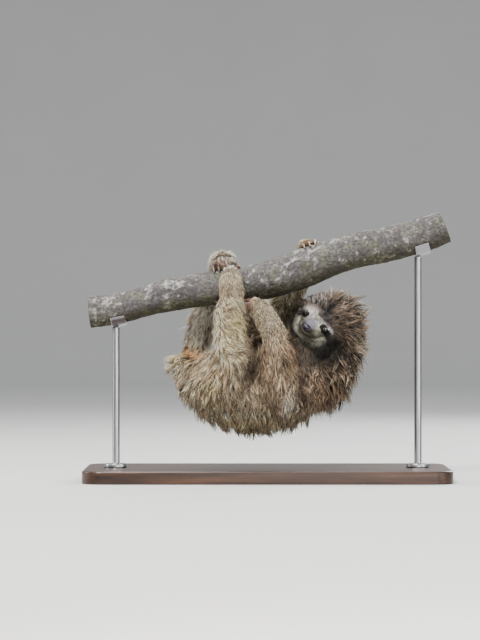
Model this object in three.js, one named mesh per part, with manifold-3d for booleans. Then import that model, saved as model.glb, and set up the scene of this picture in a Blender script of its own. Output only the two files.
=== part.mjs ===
// A young three-toed sloth hanging under a cut length of branch, life size, on a plain display stand.
// Millimetres, +Z up. The origin is the middle of the base's underside. The branch runs along X, the
// sloth hangs below it with its head towards +X, and its left side and its face are towards -Y.
// The flesh solids reach to the tips of the coat.
import * as THREE from "three";
import { mergeVertices } from "three/addons/utils/BufferGeometryUtils.js";
import Module from "manifold-3d";

const wasm = await Module();
wasm.setup();

// ---- Driving dimensions -------------------------------------------------------------------------

const GAP = 0.35; // left between neighbouring pieces

const BASE = { length: 400, width: 172, height: 14, corner: 22, bevel: 1.5 };
const ROD = { radius: 4, x: 166, footRadius: 13, footHeight: 4 };
const SADDLE = { length: 16, wall: 2.6, wrap: 62 }; // the cradle on each rod, with its half angle
const SEAT_GAP = 0.3; // between the stand's pieces, and between the saddles and the bark

const BRANCH = { length: 390, midHeight: 223, slope: 0.24, bend: 0.00029, radius: 17.8, taper: 0.003 };
const SWAY = { rise: 3, wavelength: 180, x: 85 }; // the branch's slight waviness
const SWELLING = { x: 25, spread: 85, rise: 3.2 }; // where the branch is thickest
const BARK_LUMPS = [
  { share: 0.028, turns: 2, wavelength: 118 },
  { share: 0.02, turns: 3, wavelength: -71 },
];

const HEAD_CENTRE = [58.5, -8, 169.5]; // the middle of the skull
const HEAD_YAW = 30; // degrees, from straight at -Y towards -X
const HEAD_ROLL = 38.5; // degrees, the crown leaning towards +X
const EYE = { radius: 4.2, apart: 29, up: 6, proud: 1.1 }; // `proud` is how far it stands out
const NOSE = { up: -2.2, forward: 30, wide: 6.4, high: 4.6, deep: 3.8 };

const CLAW = { base: 2.7, tip: 0.8, spacing: 6.3 };

// ---- Making and joining solids ------------------------------------------------------------------

const vector = ([x, y, z]) => new THREE.Vector3(x, y, z);
const radians = THREE.MathUtils.degToRad;
const bell = (distance, spread) => Math.exp(-((distance / spread) ** 2));

// A closed three.js geometry as a solid, with its faces turned outwards.
function solidOf(geometry) {
  const bare = geometry.clone();
  bare.deleteAttribute("normal");
  bare.deleteAttribute("uv");
  const merged = mergeVertices(bare, 1e-4);
  const triVerts = new Uint32Array(merged.index.array);
  const vertProperties = merged.attributes.position.array;
  const solid = new wasm.Manifold(new wasm.Mesh({ numProp: 3, vertProperties, triVerts }));
  if (solid.volume() > 0) return solid;
  triVerts.reverse();
  return new wasm.Manifold(new wasm.Mesh({ numProp: 3, vertProperties, triVerts }));
}

// A solid as a three.js geometry again.
function geometryOf(solid) {
  const { numProp, numVert, vertProperties, triVerts } = solid.getMesh();
  const position = new Float32Array(numVert * 3);
  for (let i = 0; i < numVert; i++) {
    position.set(vertProperties.subarray(i * numProp, i * numProp + 3), i * 3);
  }
  const geometry = new THREE.BufferGeometry();
  geometry.setAttribute("position", new THREE.BufferAttribute(position, 3));
  geometry.setIndex(new THREE.BufferAttribute(triVerts, 1));
  geometry.computeVertexNormals();
  return geometry;
}

// The largest of the bodies that a cut leaves.
function largestBody(solid) {
  const bodies = solid.decompose();
  return bodies.reduce((best, body) => (body.volume() > best.volume() ? body : best));
}

// A body of oval sections along a line. line(t) is a point and size(t) the section's two radii, for t
// from 0 to 1. The first radius lies across both the line and `facing`, the second towards `facing`.
// `round` is how far each end bulges, as a share of its radius. relief(t, angle) scales the radius.
function sweep({ line, size, facing, steps, sides, round = 1, capRings = 4, relief, grow = 0 }) {
  const profile = [new THREE.Vector2(0, -1)];
  for (let i = 1; i < capRings; i++) {
    const angle = (i / capRings) * (Math.PI / 2);
    profile.push(new THREE.Vector2(Math.sin(angle), -Math.cos(angle)));
  }
  for (let i = 0; i <= steps; i++) profile.push(new THREE.Vector2(1, i / steps));
  for (let i = capRings - 1; i > 0; i--) {
    const angle = (i / capRings) * (Math.PI / 2);
    profile.push(new THREE.Vector2(Math.sin(angle), 1 + Math.cos(angle)));
  }
  profile.push(new THREE.Vector2(0, 2));

  const geometry = new THREE.LatheGeometry(profile, sides);
  const place = geometry.attributes.position;
  const towards = vector(facing);
  for (let i = 0; i < place.count; i++) {
    const along = place.getY(i);
    const t = THREE.MathUtils.clamp(along, 0, 1);
    const tangent = line(Math.min(t + 0.004, 1)).sub(line(Math.max(t - 0.004, 0))).normalize();
    const across = new THREE.Vector3().crossVectors(towards, tangent).normalize();
    const up = new THREE.Vector3().crossVectors(tangent, across);
    const [wide, deep] = size(t).map((radius) => radius + grow);
    const scale = relief ? relief(t, Math.atan2(place.getZ(i), place.getX(i))) : 1;
    const end = (along - t) * (((wide + deep) / 2) * round + (round ? 0 : grow));
    const point = line(t)
      .addScaledVector(tangent, end)
      .addScaledVector(across, place.getX(i) * wide * scale)
      .addScaledVector(up, place.getZ(i) * deep * scale);
    place.setXYZ(i, point.x, point.y, point.z);
  }
  return solidOf(geometry);
}

// A swept body through stations, each a point and two radii: [[x, y, z], wide, deep].
function through(stations, options) {
  const smooth = (points) => new THREE.CatmullRomCurve3(points, false, "catmullrom", 0.5);
  const places = smooth(stations.map(([place]) => vector(place)));
  const sizes = smooth(stations.map(([, wide, deep]) => new THREE.Vector3(wide, deep, 0)));
  const line = (t) => places.getPoint(t);
  const size = (t) => sizes.getPoint(t).toArray().slice(0, 2);
  return sweep({ line, size, facing: [0, 1, 0], steps: 9, sides: 14, ...options });
}

// An ellipsoid whose axes are a basis's.
function ellipsoid(centre, radii, basis, grow, rings) {
  const geometry = new THREE.SphereGeometry(1, 2 * rings, rings);
  geometry.scale(...radii.map((radius) => radius + grow));
  geometry.applyMatrix4(basis.clone().setPosition(centre));
  return solidOf(geometry);
}

// ---- The branch ---------------------------------------------------------------------------------

const branchHeight = (x) =>
  BRANCH.midHeight +
  BRANCH.slope * x +
  BRANCH.bend * x * x +
  SWAY.rise * Math.cos((2 * Math.PI * (x - SWAY.x)) / SWAY.wavelength);
const branchSlope = (x) => (branchHeight(x + 1) - branchHeight(x - 1)) / 2;
const branchRadius = (x) =>
  BRANCH.radius + BRANCH.taper * x + SWELLING.rise * bell(x - SWELLING.x, SWELLING.spread);
const branchX = (t) => (t - 0.5) * BRANCH.length;

// Low rounded lumps in the bark, as a share of the radius.
function barkRelief(t, angle) {
  const lump = ({ share, turns, wavelength }) =>
    share * Math.sin(turns * angle + (2 * Math.PI * branchX(t)) / wavelength);
  return 1 + BARK_LUMPS.reduce((sum, each) => sum + lump(each), 0);
}

function branch(grow) {
  return sweep({
    line: (t) => new THREE.Vector3(branchX(t), 0, branchHeight(branchX(t))),
    size: (t) => [branchRadius(branchX(t)), branchRadius(branchX(t))],
    facing: [0, 1, 0],
    steps: 22,
    sides: 16,
    round: 0,
    capRings: 1,
    relief: barkRelief,
    grow,
  });
}

// A point beside the branch. The angle is 0 at the front (-Y), 90 on top and 180 at the back, and the
// distance is from the bark.
function aroundBranch(x, angle, distance) {
  const reach = branchRadius(x) + distance;
  const lean = new THREE.Vector3(-branchSlope(x), 0, 1).normalize();
  const point = new THREE.Vector3(x, -reach * Math.cos(radians(angle)), branchHeight(x));
  return point.addScaledVector(lean, reach * Math.sin(radians(angle))).toArray();
}

// ---- The head -----------------------------------------------------------------------------------

// The head's own axes: x to its left, y up through the crown, z out of the face.
const headBasis = new THREE.Matrix4()
  .makeRotationZ(radians(-HEAD_YAW))
  .multiply(new THREE.Matrix4().makeRotationY(radians(HEAD_ROLL)))
  .multiply(new THREE.Matrix4().makeRotationX(radians(90)));
const onHead = (x, y, z) => new THREE.Vector3(x, y, z).applyMatrix4(headBasis).add(vector(HEAD_CENTRE));

// The head's rounded masses in its own axes: [centre, radii].
const HEAD_MASSES = [
  [[2, 8, -13], [39, 36, 31]], // crown and nape, to the tips of the fur
  [[9.5, 1, 5], [17, 20, 18]], // left of the face, round the eye
  [[-9.5, 1, 5], [17, 20, 18]], // right of the face
  [[0, 14, 11], [19, 9, 11]], // brow
  [[13, -11, 10], [12, 12, 11]], // left cheek
  [[-13, -11, 10], [12, 12, 11]], // right cheek
  [[0, -6, 16], [13, 11, 14]], // muzzle
  [[0, -15, 12], [11, 8, 12]], // chin
];
const MASS_BLEND = 1.7; // how softly the masses run together

// About how far a point in the head's axes is outside its masses, blended.
function outsideHead(point) {
  const near = HEAD_MASSES.map(([centre, radii]) => {
    const scaled = point.map((value, i) => (value - centre[i]) / radii[i]);
    return (Math.hypot(...scaled) - 1) * Math.min(...radii);
  });
  return -MASS_BLEND * Math.log(near.reduce((sum, d) => sum + Math.exp(-d / MASS_BLEND), 0));
}

// How far the surface lies from the head's centre in a direction, found by halving.
function headRadius(direction) {
  let inside = 10;
  let outside = 70;
  for (let i = 0; i < 24; i++) {
    const middle = (inside + outside) / 2;
    if (outsideHead(direction.map((value) => value * middle)) < 0) inside = middle;
    else outside = middle;
  }
  return inside;
}

// A ball with its pole at the nose and its rings closer together over the face.
function head(grow) {
  const [around, rings, crowding] = [26, 20, 0.42];
  const geometry = new THREE.SphereGeometry(1, around, rings);
  const place = geometry.attributes.position;
  for (let i = 0; i < place.count; i++) {
    const share = Math.acos(THREE.MathUtils.clamp(place.getY(i), -1, 1)) / Math.PI;
    const polar = Math.PI * (share - (crowding * Math.sin(Math.PI * share)) / Math.PI);
    const turn = Math.atan2(place.getZ(i), place.getX(i));
    const [wide, out] = [Math.sin(polar), Math.cos(polar)];
    const direction = [wide * Math.cos(turn), -wide * Math.sin(turn), out];
    const radius = headRadius(direction) + grow;
    const point = onHead(...direction.map((value) => value * radius));
    place.setXYZ(i, point.x, point.y, point.z);
  }
  return solidOf(geometry);
}

// How far forward of the head's centre the face lies at a point, found by stepping inwards.
function faceDepth(x, y) {
  let depth = 45;
  while (outsideHead([x, y, depth]) > 0) depth -= 0.05;
  return depth;
}

const eye = (side) => (grow) => {
  const x = (side * EYE.apart) / 2;
  const centre = onHead(x, EYE.up, faceDepth(x, EYE.up) + EYE.proud - EYE.radius);
  return ellipsoid(centre, [EYE.radius, EYE.radius, EYE.radius], headBasis, grow, 6);
};
const nose = (grow) =>
  ellipsoid(onHead(0, NOSE.up, NOSE.forward), [NOSE.wide, NOSE.high, NOSE.deep], headBasis, grow, 6);

// ---- Trunk, neck and tail -----------------------------------------------------------------------

const trunk = (grow) =>
  through(
    [
      [[-94, 4, 116], 16, 17],
      [[-86, 4, 114], 27, 27],
      [[-70, 4, 110], 40.5, 39],
      [[-50, 4, 108], 49.5, 46],
      [[-22, 4, 108], 57, 50],
      [[8, 4, 109], 56, 50],
      [[36, 4, 113], 49.5, 46],
      [[59, 4, 117], 41, 41],
      [[73, 4, 121], 33, 34],
      [[82, 4, 125], 24, 25],
    ],
    { steps: 14, sides: 18, round: 0.4, capRings: 2, grow },
  );
const neck = (grow) =>
  through(
    [
      [[57, 6, 124], 35, 35],
      [[71, 7, 143], 34, 34],
      [[79, 4, 158], 31, 30],
    ],
    { steps: 4, sides: 14, round: 0.6, capRings: 3, grow },
  );
const tail = (grow) =>
  through(
    [
      [[-72, 3, 127], 15, 15],
      [[-93, 3, 127], 13, 13],
      [[-104, 3, 126], 9.5, 10],
    ],
    { steps: 3, sides: 10, capRings: 3, grow },
  );

// ---- Limbs --------------------------------------------------------------------------------------

// The near limbs are the left ones, in front of the branch, and the far ones the right, behind it.
// `upper` runs from the trunk to the knee or elbow, and `lower` from there to the toes, with the
// wrist or ankle at `paw` of its length. Each station is a point and two radii, across and `facing`.
const LIMBS = [
  {
    names: ["thigh_left", "shank_left", "foot_left"],
    facing: [1, 0, 0],
    upper: [
      [[-62, -20, 103], 27, 28],
      [[-46, -35, 114], 23, 24],
      [[-35, -42, 130], 19, 20],
    ],
    lower: [
      [[-35, -42, 130], 19, 20],
      [[-37.5, -40, 154], 17, 18.5],
      [[-39.5, -35, 180], 13.5, 16.5],
      [aroundBranch(-39.5, -24, 9.5), 10, 13.5],
      [aroundBranch(-39, 6, 8.5), 8.5, 12],
      [aroundBranch(-38, 34, 6), 6, 10],
    ],
    paw: 0.6,
  },
  {
    names: ["thigh_right", "shank_right", "foot_right"],
    facing: [1, 0, 0],
    upper: [
      [[-62, 26, 112], 24, 25],
      [[-74, 38, 132], 20, 20],
      [[-79, 42, 152], 17, 17.5],
    ],
    lower: [
      [[-79, 42, 152], 17, 17.5],
      [[-75, 41, 174], 15.5, 16],
      [[-66, 37, 195], 12, 14],
      [aroundBranch(-57, 188, 11), 10.5, 13.5],
      [aroundBranch(-49, 146, 11), 10.5, 15],
      [aroundBranch(-45, 98, 10.5), 9, 14.5],
    ],
    paw: 0.58,
  },
  {
    names: ["upper_arm_left", "forearm_left", "hand_left"],
    facing: [0, 1, 0],
    upper: [
      [[52, -14, 108], 24, 25],
      [[37, -32, 97], 20, 20],
      [[20.5, -45, 90], 17, 17],
    ],
    lower: [
      [[20.5, -45, 90], 17, 17],
      [[17, -49, 112], 19, 16.5],
      [[12, -50, 138], 19.5, 14.5],
      [[8, -49, 160], 15.5, 10.5],
      [[-1, -47.5, 179], 13, 8.5],
      [[-9, -45.5, 193], 9, 6.5],
    ],
    paw: 0.6,
  },
  {
    names: ["upper_arm_right", "forearm_right", "hand_right"],
    facing: [1, 0, 0],
    upper: [
      [[44, 26, 122], 23, 24],
      [[24, 38, 148], 18, 19],
      [[9, 42, 171], 15.5, 16],
    ],
    lower: [
      [[9, 42, 171], 15.5, 16],
      [[16, 42, 192], 14.5, 15.5],
      [[30, 37, 213], 11, 13],
      [aroundBranch(42, 182, 9.5), 9, 12],
      [aroundBranch(49, 150, 8), 7.5, 12],
      [aroundBranch(54, 120, 6), 5.5, 11.5],
    ],
    paw: 0.6,
  },
];

// Keeps what lies on the side of a plane that its normal points to, half a gap from the plane.
function keepSide(solid, point, normal) {
  const reach = 260;
  const box = new THREE.BoxGeometry(reach, reach, reach);
  box.translate(0, 0, -reach / 2 + GAP / 2);
  const turn = new THREE.Quaternion().setFromUnitVectors(new THREE.Vector3(0, 0, 1), normal);
  box.applyQuaternion(turn);
  box.translate(...point);
  return solid.subtract(solidOf(box));
}

const directionOf = (from, to) => vector(to).sub(vector(from)).normalize();

// A limb's three pieces, mitred at its bend and parted by a plane at its wrist or ankle.
function limbPieces({ names, facing, upper, lower, paw }) {
  const knee = lower[0][0];
  const above = directionOf(upper.at(-2)[0], knee);
  const below = directionOf(knee, lower[1][0]);
  const mitre = above.clone().add(below).normalize();
  const line = new THREE.CatmullRomCurve3(lower.map(([place]) => vector(place)), false, "catmullrom", 0.5);
  const wrist = line.getPoint(paw).toArray();
  const onward = line.getTangent(paw);
  const shaft = (grow) => through(lower, { facing, steps: 10, sides: 12, capRings: 3, grow });
  const makers = [
    (grow) => keepSide(through(upper, { facing, steps: 4, sides: 12, capRings: 3, grow }), knee, mitre.clone().negate()),
    (grow) => keepSide(keepSide(shaft(grow), knee, mitre), wrist, onward.clone().negate()),
    (grow) => keepSide(shaft(grow), wrist, onward),
  ];
  return names.map((name, i) => [name, makers[i], "coat"]);
}

// ---- Claws --------------------------------------------------------------------------------------

// One curved claw through points, thinning to its tip.
function claw(points, facing, grow) {
  const taper = (t) => THREE.MathUtils.lerp(CLAW.base, CLAW.tip, t ** 1.4);
  const curve = new THREE.CatmullRomCurve3(points.map(vector));
  return sweep({
    line: (t) => curve.getPoint(t),
    size: (t) => [taper(t), taper(t)],
    facing,
    steps: 5,
    sides: 5,
    capRings: 1,
    grow,
  });
}

// Three claws over the branch from one angle to another. `lift` is the bark clearance at the root.
const clawOverBranch = ({ x, from, to, lift }) => (number) => (grow) => {
  const rows = 5;
  const points = Array.from({ length: rows }, (_, i) => {
    const share = i / (rows - 1);
    const fan = (number - 1) * CLAW.spacing * (1 - 0.12 * share);
    const clear = CLAW.base + 0.9 + lift * (1 - share) ** 2 - 1.1 * share;
    return aroundBranch(x + fan, THREE.MathUtils.lerp(from, to, share), clear);
  });
  return claw(points, [1, 0, 0.2], grow);
};

// Three claws hooked round the left shank from its +X side to its back.
const SHANK_HOLD = { x: -39, y: -39, z: 199, radius: 19.5, from: -10, to: 132, droop: 5, reach: 12 };
const clawRoundShank = (number) => (grow) => {
  const rows = 5;
  const points = Array.from({ length: rows }, (_, i) => {
    const share = i / (rows - 1);
    const angle = radians(THREE.MathUtils.lerp(SHANK_HOLD.from, SHANK_HOLD.to, share));
    const reach = SHANK_HOLD.radius + SHANK_HOLD.reach * (1 - share) ** 4;
    return [
      SHANK_HOLD.x + reach * Math.cos(angle),
      SHANK_HOLD.y + reach * Math.sin(angle),
      SHANK_HOLD.z - number * CLAW.spacing * 0.95 - SHANK_HOLD.droop * share,
    ];
  });
  return claw(points, [0, 0, 1], grow);
};

const CLAW_SETS = {
  foot_left: clawOverBranch({ x: -34.5, from: 34, to: 114, lift: 2 }),
  foot_right: clawOverBranch({ x: -50.5, from: 106, to: 48, lift: 6 }),
  hand_right: clawOverBranch({ x: 54, from: 122, to: 46, lift: 3 }),
  hand_left: clawRoundShank,
};
const clawPieces = Object.entries(CLAW_SETS).flatMap(([limb, make]) =>
  [0, 1, 2].map((number) => [`claw_${limb}_${number + 1}`, make(number), "claw"]),
);

// ---- The stand ----------------------------------------------------------------------------------

function standBase() {
  const { length, width, height, corner, bevel } = BASE;
  const [x, y, r] = [length / 2 - bevel, width / 2 - bevel, corner];
  const outline = new THREE.Shape();
  outline.moveTo(-x + r, -y);
  outline.absarc(x - r, -y + r, r, -Math.PI / 2, 0);
  outline.absarc(x - r, y - r, r, 0, Math.PI / 2);
  outline.absarc(-x + r, y - r, r, Math.PI / 2, Math.PI);
  outline.absarc(-x + r, -y + r, r, Math.PI, 1.5 * Math.PI);
  const geometry = new THREE.ExtrudeGeometry(outline, {
    depth: height - 2 * bevel,
    bevelThickness: bevel,
    bevelSize: bevel,
    bevelSegments: 1,
    curveSegments: 4,
  });
  geometry.translate(0, 0, bevel);
  return solidOf(geometry);
}

// A turned rod with a flat foot, from the base's top up to its saddle.
const rod = (side) => () => {
  const x = side * ROD.x;
  const bottom = BASE.height + SEAT_GAP;
  const top = branchHeight(x) - branchRadius(x) - SADDLE.wall - 4 * SEAT_GAP;
  const profile = [
    [0, bottom],
    [ROD.footRadius, bottom],
    [ROD.footRadius, bottom + ROD.footHeight - 1],
    [ROD.footRadius - 1, bottom + ROD.footHeight],
    [ROD.radius, bottom + ROD.footHeight],
    [ROD.radius, top],
    [0, top],
  ].map(([radius, height]) => new THREE.Vector2(radius, height));
  const geometry = new THREE.LatheGeometry(profile, 12);
  geometry.rotateX(Math.PI / 2);
  geometry.translate(x, 0, 0);
  return solidOf(geometry);
};

// A curved plate under the branch: a ring sector, laid along the branch's slope.
const saddle = (side) => () => {
  const x = side * ROD.x;
  const inner = branchRadius(x) + SEAT_GAP;
  const [outer, half] = [inner + SADDLE.wall, radians(SADDLE.wrap)];
  const outline = new THREE.Shape();
  outline.absarc(0, 0, outer, -Math.PI / 2 - half, -Math.PI / 2 + half, false);
  outline.absarc(0, 0, inner, -Math.PI / 2 + half, -Math.PI / 2 - half, true);
  const geometry = new THREE.ExtrudeGeometry(outline, {
    depth: SADDLE.length,
    bevelEnabled: false,
    curveSegments: 6,
  });
  geometry.translate(0, 0, -SADDLE.length / 2);
  geometry.rotateX(Math.PI / 2);
  geometry.rotateZ(Math.PI / 2);
  geometry.rotateY(-Math.atan(branchSlope(x)));
  geometry.translate(x, 0, branchHeight(x));
  return solidOf(geometry);
};

// ---- Assembly -----------------------------------------------------------------------------------

const MATERIALS = {
  bark: { color: "#8f8c86", roughness: 0.9 },
  coat: { color: "#b09b7c", roughness: 0.85 },
  face: { color: "#c9c0ac", roughness: 0.8 },
  nose: { color: "#2b2328", roughness: 0.35 },
  eye: { color: "#120c0a", roughness: 0.1 },
  claw: { color: "#b58f80", roughness: 0.4 },
  stand_wood: { color: "#3a2c22", roughness: 0.5 },
  stand_metal: { color: "#8c8d8e", roughness: 0.35, metalness: 0.9 },
};

// [name, solid as a function of how much it is grown, material]. A piece gives way to all before it.
const PIECES = [
  ["stand_base", standBase, "stand_wood"],
  ["branch", branch, "bark"],
  ["stand_saddle_left", saddle(-1), "stand_metal"],
  ["stand_saddle_right", saddle(1), "stand_metal"],
  ["stand_rod_left", rod(-1), "stand_metal"],
  ["stand_rod_right", rod(1), "stand_metal"],
  ["eye_left", eye(1), "eye"],
  ["eye_right", eye(-1), "eye"],
  ["nose", nose, "nose"],
  ["head", head, "face"],
  ["trunk", trunk, "coat"],
  ["neck", neck, "coat"],
  ["tail", tail, "coat"],
  ...LIMBS.flatMap(limbPieces),
  ...clawPieces,
];

const group = new THREE.Group();
const placed = [];
for (const [name, make, material] of PIECES) {
  const solid = placed.reduce((left, grown) => left.subtract(grown), make(0));
  placed.push(make(GAP));
  const mesh = new THREE.Mesh(
    geometryOf(largestBody(solid)),
    new THREE.MeshStandardMaterial({ metalness: 0, ...MATERIALS[material] }),
  );
  mesh.name = name;
  group.add(mesh);
}

export default group;
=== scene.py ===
"""A young three-toed sloth hanging under a cut branch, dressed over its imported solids.

Lengths are in millimetres while shapes are worked out, and in metres in the meshes. The frame is the
solids' own: z up, the branch along x, the face and the left limbs towards -y.
"""

import math

import bmesh
import bpy
import numpy as np
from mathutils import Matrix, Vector, noise
from mathutils.bvhtree import BVHTree
from mathutils.kdtree import KDTree


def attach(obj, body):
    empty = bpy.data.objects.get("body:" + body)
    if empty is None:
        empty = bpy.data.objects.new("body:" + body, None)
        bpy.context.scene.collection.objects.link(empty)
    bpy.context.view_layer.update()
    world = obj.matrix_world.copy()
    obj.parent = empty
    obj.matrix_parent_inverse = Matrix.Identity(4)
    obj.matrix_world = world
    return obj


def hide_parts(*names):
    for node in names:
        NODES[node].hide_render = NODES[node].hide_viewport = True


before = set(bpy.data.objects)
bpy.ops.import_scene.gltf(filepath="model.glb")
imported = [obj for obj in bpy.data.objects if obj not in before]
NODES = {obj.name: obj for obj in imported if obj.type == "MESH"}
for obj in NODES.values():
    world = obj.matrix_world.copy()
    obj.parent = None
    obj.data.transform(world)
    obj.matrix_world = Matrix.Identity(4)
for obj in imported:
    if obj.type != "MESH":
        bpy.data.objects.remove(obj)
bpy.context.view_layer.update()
MM = 0.001
RNG = np.random.default_rng(41)
DOWN = np.array([0.0, 0.0, -1.0])

# ---- Camera, light and floor ----

PIXEL = 1.1  # millimetres to a pixel of the photograph, in the plane of the branch
CAMERA_AWAY = 3000.0
FRAME_HIGH = 640
FLOOR_GREY = np.array([0.46, 0.46, 0.45])


def placed(name, data):
    item = bpy.data.objects.new(name, data)
    bpy.context.collection.objects.link(item)
    return item


def make_camera():
    data = bpy.data.cameras.new("camera")
    data.sensor_width = 36
    data.lens = CAMERA_AWAY * data.sensor_width / (FRAME_HIGH * PIXEL)
    data.clip_end = 50
    camera = placed("camera", data)
    camera.location = (-0.0297, -CAMERA_AWAY * MM, 0.176)
    camera.rotation_euler = (math.pi / 2, 0, 0)
    bpy.context.scene.camera = camera


def area_light(name, place, target, size, power, colour=(1, 1, 1)):
    data = bpy.data.lights.new(name, "AREA")
    data.shape = "DISK"
    data.size = size
    data.energy = power
    data.color = colour
    light = placed(name, data)
    light.location = place
    light.rotation_euler = (Vector(target) - Vector(place)).to_track_quat("-Z", "Y").to_euler()


def make_light():
    target = (0, 0, 0.15)
    area_light("key", (-0.8, -1.4, 1.7), target, 0.6, 62, (1, 0.97, 0.93))
    area_light("fill", (1.6, -1.2, 0.6), target, 1.2, 11, (0.93, 0.96, 1))
    area_light("low", (0.3, -1.5, 0.06), (0, 0, 0.2), 1.0, 8, (1, 0.97, 0.93))
    area_light("left", (-1.7, 0.2, 0.6), target, 0.8, 9, (1, 0.98, 0.96))
    area_light("top", (-0.1, 0.3, 1.8), target, 0.9, 30)
    area_light("back", (0.9, 1.5, 0.9), target, 0.9, 18)
    world = bpy.data.worlds.new("studio")
    world.use_nodes = True
    background = world.node_tree.nodes["Background"]
    background.inputs["Color"].default_value = (0.86, 0.88, 0.9, 1)
    background.inputs["Strength"].default_value = 0.84
    bpy.context.scene.world = world
    bpy.context.scene.view_settings.look = "AgX - Medium High Contrast"


def make_floor():
    """A round floor that curves up far behind every view of the sloth."""
    flat, bend = 4400, 1600
    rise = np.linspace(0, math.pi / 2, 25)
    profile = [(1, 0), (1500, 0), *zip(flat + bend * np.sin(rise), bend - bend * np.cos(rise))]
    points, triangles = lathe(profile, 0, 128, closed_ends=False)
    floor = placed("floor", new_mesh("floor", points, triangles[:, ::-1]))
    shader = Shader("floor", 0.75)
    shader.colour(shader.mix(shader.noise(0.25, 2), FLOOR_GREY * 0.97, FLOOR_GREY * 1.03))
    floor.data.materials.append(shader.material)


# ---- Shader helpers ----


def srgb(red, green, blue):
    """A linear colour from display values of 0 to 255."""
    values = np.array([red, green, blue], float) / 255
    return np.where(values <= 0.04045, values / 12.92, ((values + 0.055) / 1.055) ** 2.4)


class Shader:
    """A material with short ways to add and join nodes."""

    def __init__(self, name, roughness, **sockets):
        self.material = bpy.data.materials.new(name)
        self.material.use_nodes = True
        self.tree = self.material.node_tree
        self.surface = self.tree.nodes["Principled BSDF"]
        for socket, value in {"Roughness": roughness, **sockets}.items():
            self.surface.inputs[socket.replace("_", " ")].default_value = value
        self.place = self.tree.nodes.new("ShaderNodeTexCoord").outputs["Object"]

    def feed(self, socket, value):
        if isinstance(value, bpy.types.NodeSocket):
            self.tree.links.new(value, socket)
        else:
            socket.default_value = value

    def node(self, kind, inputs=(), **settings):
        node = self.tree.nodes.new(kind)
        for key, value in settings.items():
            setattr(node, key, value)
        for socket, value in dict(inputs).items():
            self.feed(node.inputs[socket], value)
        return node

    def attribute(self, name):
        return self.node("ShaderNodeAttribute", attribute_name=name).outputs

    def math(self, operation, first, second=0.0):
        return self.node("ShaderNodeMath", {0: first, 1: second}, operation=operation).outputs[0]

    def stretched(self, *scale):
        """Object coordinates, scaled along each axis."""
        return self.node("ShaderNodeMapping", {"Vector": self.place, "Scale": scale}).outputs["Vector"]

    def noise(self, size, detail=4.0, roughness=0.6, where=None, distortion=0.0):
        """Noise whose features are about `size` metres."""
        inputs = {"Vector": where or self.place, "Scale": 1 / size, "Detail": detail}
        inputs |= {"Roughness": roughness, "Distortion": distortion}
        return self.node("ShaderNodeTexNoise", inputs).outputs["Fac"]

    def ramp(self, value, *stops):
        """A colour ramp, from pairs of a position and a colour or a grey."""
        node = self.node("ShaderNodeValToRGB", {"Fac": value})
        elements = node.color_ramp.elements
        while len(elements) < len(stops):
            elements.new(0.5)
        for element, (position, colour) in zip(elements, stops):
            element.position = position
            element.color = (*(np.ones(3) * colour), 1)
        return node.outputs["Color"]

    def mix(self, factor, first, second, way="MIX"):
        node = self.node("ShaderNodeMix", {0: factor}, data_type="RGBA", blend_type=way)
        for socket, value in ((6, first), (7, second)):
            fixed = not isinstance(value, bpy.types.NodeSocket)
            self.feed(node.inputs[socket], (*value, 1) if fixed else value)
        return node.outputs[2]

    def times(self, first, second):
        return self.mix(1.0, first, second, "MULTIPLY")

    def colour(self, value):
        self.feed(self.surface.inputs["Base Color"], value)

    def bump(self, height, distance, strength=1.0):
        inputs = {"Height": height, "Distance": distance, "Strength": strength}
        self.feed(self.surface.inputs["Normal"], self.node("ShaderNodeBump", inputs).outputs["Normal"])


# ---- Mesh helpers ----


def unit(vectors):
    length = np.linalg.norm(vectors, axis=-1, keepdims=True)
    return vectors / np.maximum(length, 1e-9)


def smoothstep(low, high, value):
    share = np.clip((value - low) / (high - low), 0, 1)
    return share * share * (3 - 2 * share)


def bell(value):
    """One at nought, fading to none at about two either way."""
    return np.exp(-(value**2))


def spot(points, centre, radii):
    """One at a centre, fading to none about a radius away."""
    return np.exp(-(((points - centre) / radii) ** 2).sum(-1))


def blend(first, second, share):
    return first + (np.asarray(second) - first) * np.asarray(share)[..., None]


def layered(colour, *layers):
    """A colour under layers, each of another colour and its share."""
    for tint, share in layers:
        colour = blend(colour, tint, share)
    return colour


def turns(count):
    return np.linspace(0, 2 * math.pi, count, endpoint=False)


def read(items, key, width, kind=np.int32):
    """The values of a mesh's items, a row to each."""
    values = np.empty(len(items) * width, kind)
    items.foreach_get(key, values)
    return values.reshape(-1, width)


def mesh_points(mesh):
    return read(mesh.vertices, "co", 3, np.float32).astype(float) / MM


def set_points(mesh, points):
    mesh.vertices.foreach_set("co", (points * MM).astype(np.float32).ravel())
    mesh.update()


def mesh_triangles(mesh):
    """The vertices at each triangle's corners, and its loops."""
    mesh.calc_loop_triangles()
    return read(mesh.loop_triangles, "vertices", 3), read(mesh.loop_triangles, "loops", 3)


def mesh_edges(mesh):
    return read(mesh.edges, "vertices", 2)


def surface_tree(mesh):
    return BVHTree.FromPolygons(mesh_points(mesh).tolist(), mesh_triangles(mesh)[0].tolist())


def neighbour_mean(values, edges):
    """The mean of each vertex's neighbours."""
    size, (first, second) = len(values), edges.T
    total = [np.bincount(first, c[second], size) + np.bincount(second, c[first], size) for c in values.T]
    count = np.bincount(edges.ravel(), minlength=size)[:, None]
    return np.stack(total, 1) / np.maximum(count, 1)


def relaxed(values, edges, rounds, share=0.5, back=0.0):
    """Smoothed values. With `back`, each round is undone in part, which keeps the volume."""
    for _ in range(rounds):
        values = values + share * (neighbour_mean(values, edges) - values)
        if back:
            values = values - back * (neighbour_mean(values, edges) - values)
    return values


def normals_of(points, triangles):
    corners = points[triangles]
    face = np.cross(corners[:, 1] - corners[:, 0], corners[:, 2] - corners[:, 0])
    total = np.zeros_like(points)
    for corner in range(3):
        for axis in range(3):
            total[:, axis] += np.bincount(triangles[:, corner], face[:, axis], len(points))
    return unit(total)


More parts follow.
